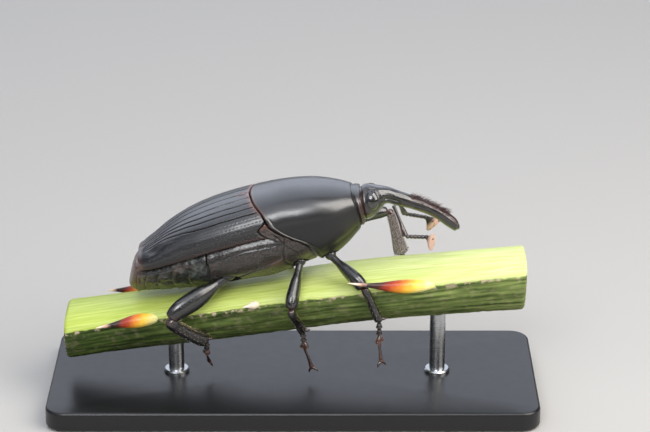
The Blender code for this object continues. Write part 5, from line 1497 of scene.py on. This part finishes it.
# %% A tree that sets fibre ends in a cut face
strand_tree, given, result = new_tree("strands_in_a_cut", (("Spacing", "Float", 0.0006),
    ("Radius", "Float", 0.00015), ("Height", "Float", 0.00005)))
points = add_node(strand_tree, "GeometryNodeDistributePointsOnFaces",
    {"Density Max": 4e7, "Mesh": (given, "Geometry"), "Distance Min": (given, "Spacing"),
    "Seed": (given, "Seed")}, distribute_method="POISSON")
peg = add_node(strand_tree, "GeometryNodeMeshCylinder", {"Vertices": 10, "Radius": (given, "Radius"),
    "Depth": (given, "Height")})
vary = add_node(strand_tree, "FunctionNodeRandomValue", {"Min": 0.55, "Max": 1.15, "Seed": (given, "Seed")},
    data_type="FLOAT")
pegs = add_node(strand_tree, "GeometryNodeInstanceOnPoints",
    {"Points": points, "Instance": peg, "Rotation": (points, "Rotation"), "Scale": vary})
end_tree(strand_tree, given, result, pegs, False)


# %% The cut ends
def pith_finish():
    made, tree, shader = new_finish("cut_pith", "#cfc79a", 0.8, 1.4)
    place = add_node(tree, "ShaderNodeTexCoord")
    mottle = add_node(tree, "ShaderNodeTexNoise", {"Scale": per_mm(0.8), "Detail": 5.0,
        "Vector": (place, "Object")})
    ramp = add_node(tree, "ShaderNodeValToRGB", {"Fac": mottle})
    set_stops(ramp, ((0.3, "#b8b07a"), (0.7, "#e4debb")))
    fill(tree, shader, {"Base Color": ramp})
    bump = add_node(tree, "ShaderNodeBump", {"Distance": 0.1 * MM, "Strength": 1.0, "Height": mottle})
    fill(tree, shader, {"Normal": bump})
    return made


PITH = pith_finish()
STRAND = new_finish("fibre_strand_end", "#6e5a36", 0.7, 1.5)[0]  # hard, dark ends that dot the pith
PITH_INSET, PITH_DEEP, PITH_PROUD = 0.38, 0.7, 0.01
turn = np.linspace(0, 360, 120, endpoint=False)[None, :]
for name, x, outwards in (("cut_low", STALK[0][0], -1), ("cut_high", STALK[-1][0], 1)):
    ring = stalk_skin(np.full((1, 1), x), turn, -PITH_INSET)[0]
    middle = ring.mean(0)
    disc = np.array([middle + (ring - middle) * s for s in (1.0, 1.0, 0.8, 0.55, 0.3, 0.05)])
    disc[0, :, 0] -= outwards * PITH_DEEP
    disc[1:, :, 0] += outwards * PITH_PROUD
    pith = ring_piece(f"stalk_{name}", disc, PITH)
    keep(pith, "green_stalk")
    face = np.concatenate([disc[2:], disc[2:, :1]], axis=1)
    host = patch_host(f"{name}_face", facing(face, (outwards, 0, 0)))
    values = {"Spacing": 0.62 * MM, "Radius": 0.15 * MM, "Height": 0.06 * MM, "Seed": 12}
    keep(grow(f"stalk_{name}_strands", host, strand_tree, values, STRAND), "green_stalk")

# %% [markdown]
# The stand is plain on purpose: a lacquered board with eased edges and two turned steel
# rods. The board is a rounded outline pulled up, and the eased edge comes from rings
# that step inwards near the top and the bottom.

# %% The stand
BASE_LENGTH, BASE_WIDTH, BASE_THICK, BASE_CORNER, EASED = 74.0, 30.0, 3.0, 3.0, 0.45
ROD_RADIUS, ROD_PLACES = 1.2, {"back": -18.0, "front": 22.0}
FLANGE = ((-0.05, 1.95), (0.35, 1.95), (0.55, 1.75), (0.6, ROD_RADIUS))  # height over the board, radius


def grained_finish(name, base, roughness, apart, deep, shine=None, metallic=0.0, stretch=None, detail=2.0,
    strength=1.0):
    """A grain apart and deep in mm. shine is the span of its roughness, stretch draws it out."""
    made, tree, shader = new_finish(name, base, roughness, 1.5, metallic)
    spot = (add_node(tree, "ShaderNodeTexCoord"), "Object")
    if stretch:
        spot = add_node(tree, "ShaderNodeMapping", {"Vector": spot, "Scale": stretch})
    grain = add_node(tree, "ShaderNodeTexNoise", {"Vector": spot, "Scale": per_mm(apart), "Detail": detail})
    bump = add_node(tree, "ShaderNodeBump", {"Height": grain, "Distance": deep * MM, "Strength": strength})
    fill(tree, shader, {"Normal": bump})
    if shine:
        span = {"From Min": 0.3, "From Max": 0.7, "To Min": shine[0], "To Max": shine[1]}
        fill(tree, shader, {"Roughness": add_node(tree, "ShaderNodeMapRange", {"Value": grain, **span})})
    return made


# Sprayed lacquer: a faint orange peel softens the edge of each reflection
LACQUER = grained_finish("satin_black_lacquer", "#131315", 0.3, 1.6, 0.002, (0.3, 0.34))
# Turned steel: bright, with fine rings round it. Real ones are 0.05 mm apart and would
# not show, so they are drawn 0.7 mm apart
STEEL = grained_finish("turned_steel", "#b9bbbd", 0.28, 0.7, 0.004, (0.25, 0.31), 1.0, (0.02, 0.02, 1.0))
outline = []
for cx, cy, first in ((1, 1, 0), (-1, 1, 90), (-1, -1, 180), (1, -1, 270)):
    for a in np.radians(np.linspace(first, first + 90, 17)):
        corner = np.array((cx * (BASE_LENGTH / 2 - BASE_CORNER), cy * (BASE_WIDTH / 2 - BASE_CORNER)))
        outline.append((corner, np.array((math.cos(a), math.sin(a)))))
rings = []
bend = np.linspace(0, math.pi / 2, 7)
rise, inwards = EASED * (1 - np.sin(bend)), EASED * (1 - np.cos(bend))
for z, step in [*zip(rise[::-1], inwards[::-1]), *zip(BASE_THICK - rise, inwards)]:
    rings.append([(*(c + d * (BASE_CORNER - step)), z) for c, d in outline])
board = ring_piece("stand_board", np.array(rings), LACQUER, sharp=35.0)
keep(board, "stand_base", "stand_base")
for word, x in ROD_PLACES.items():
    under = smooth_curve(STALK, 3, x) + LIFT
    slope = (smooth_curve(STALK, 3, x + 1) - smooth_curve(STALK, 3, x - 1)) / 2
    around = np.linspace(0, 2 * np.pi, 48, endpoint=False)
    rings = []
    for z, radius in (*FLANGE, (None, ROD_RADIUS)):
        dx, dy = radius * np.cos(around), radius * np.sin(around)
        top = under + 0.25 + dx * slope
        rings.append(np.stack([x + dx, dy, top if z is None else np.full(dx.shape, BASE_THICK + z)], -1))
    rod = ring_piece(f"stand_rod_{word}_turned", np.array(rings), STEEL, sharp=30.0)
    keep(rod, "stand_steel", f"stand_rod_{word}")

# %% [markdown]
# The studio: a pale floor and five soft boxes. Black gloss shows nothing but what it
# mirrors, so each box is placed where one part of the shell reflects it to the camera:
# two large, faint ones give the broad blue-grey sheen, a small bright one the hard
# lights on the swellings, one lights the front of the shield, and a faint one the tail.
# The camera looks at the beetle's right side from 22 degrees above, with a long lens.

# %% Floor, lights and camera
FLOOR_SIZE, FLOOR_LEVEL = 6.0, -0.0002
LIGHT_AIM = np.array((0.0, 0.0, 0.026))
CAMERA_AIM = np.array((4.8, 0.0, 28.6)) * MM
CAMERA_DISTANCE, CAMERA_ELEVATION, CAMERA_LENS = 0.370, math.radians(22), 136.6


# Matt paper: no gloss, so nothing on the floor draws the eye
PAPER = grained_finish("pale_paper_floor", "#b1afab", 0.85, 2.0, 0.02, detail=3.0, strength=0.5)
floor_mesh = bpy.data.meshes.new("studio_floor")
far = FLOOR_SIZE / 2
corners = [(x * far, y * far, FLOOR_LEVEL) for x, y in ((-1, -1), (1, -1), (1, 1), (-1, 1))]
floor_mesh.from_pydata(corners, [], [(0, 1, 2, 3)])
floor_mesh.materials.append(PAPER)
shown("studio_floor", floor_mesh)


def soft_box(name, turn, along, size, radiance, tint, distance=0.45):
    """A soft box seen from the beetle at turn degrees from straight up to the camera, shifted along X."""
    place = LIGHT_AIM + (along, -distance * math.sin(math.radians(turn)),
        distance * math.cos(math.radians(turn)))
    data = bpy.data.lights.new(name, "AREA")
    data.shape, data.size, data.size_y = "RECTANGLE", size[0], size[1]
    data.energy, data.color = radiance * math.pi * size[0] * size[1], colour(tint)[:3]
    light = shown(name, data)
    light.location = Vector(place)
    light.rotation_euler = (Vector(LIGHT_AIM) - Vector(place)).to_track_quat("-Z", "Y").to_euler()


soft_box("sky_box", -46, -0.06, (0.66, 0.62), 1.35, "#e8efff")
soft_box("front_box", 30, -0.06, (0.5, 0.58), 1.4, "#eef3ff")
soft_box("key_box", 52, -0.05, (0.15, 0.15), 8.0, "#ffffff", 0.36)
soft_box("side_box", 30, 0.27, (0.3, 0.4), 6.0, "#fffaf4", 0.3)
soft_box("tail_box", 30, -0.42, (0.26, 0.34), 0.7, "#eef3ff", 0.28)

world = bpy.data.worlds.new("studio_air")
world.use_nodes = True
fill(world.node_tree, world.node_tree.nodes["Background"], {"Color": colour("#cfd4da"), "Strength": 0.12})
bpy.context.scene.world = world
bpy.context.scene.view_settings.view_transform = "Standard"

back = Vector((0, -math.cos(CAMERA_ELEVATION), math.sin(CAMERA_ELEVATION)))
camera_data = bpy.data.cameras.new("camera")
camera_data.lens, camera_data.sensor_width = CAMERA_LENS, 36.0
camera_data.clip_start, camera_data.clip_end = 0.01, 20.0
camera = shown("camera", camera_data)
camera.location = Vector(CAMERA_AIM) + back * CAMERA_DISTANCE
camera.rotation_euler = (-back).to_track_quat("-Z", "Y").to_euler()
bpy.context.scene.camera = camera
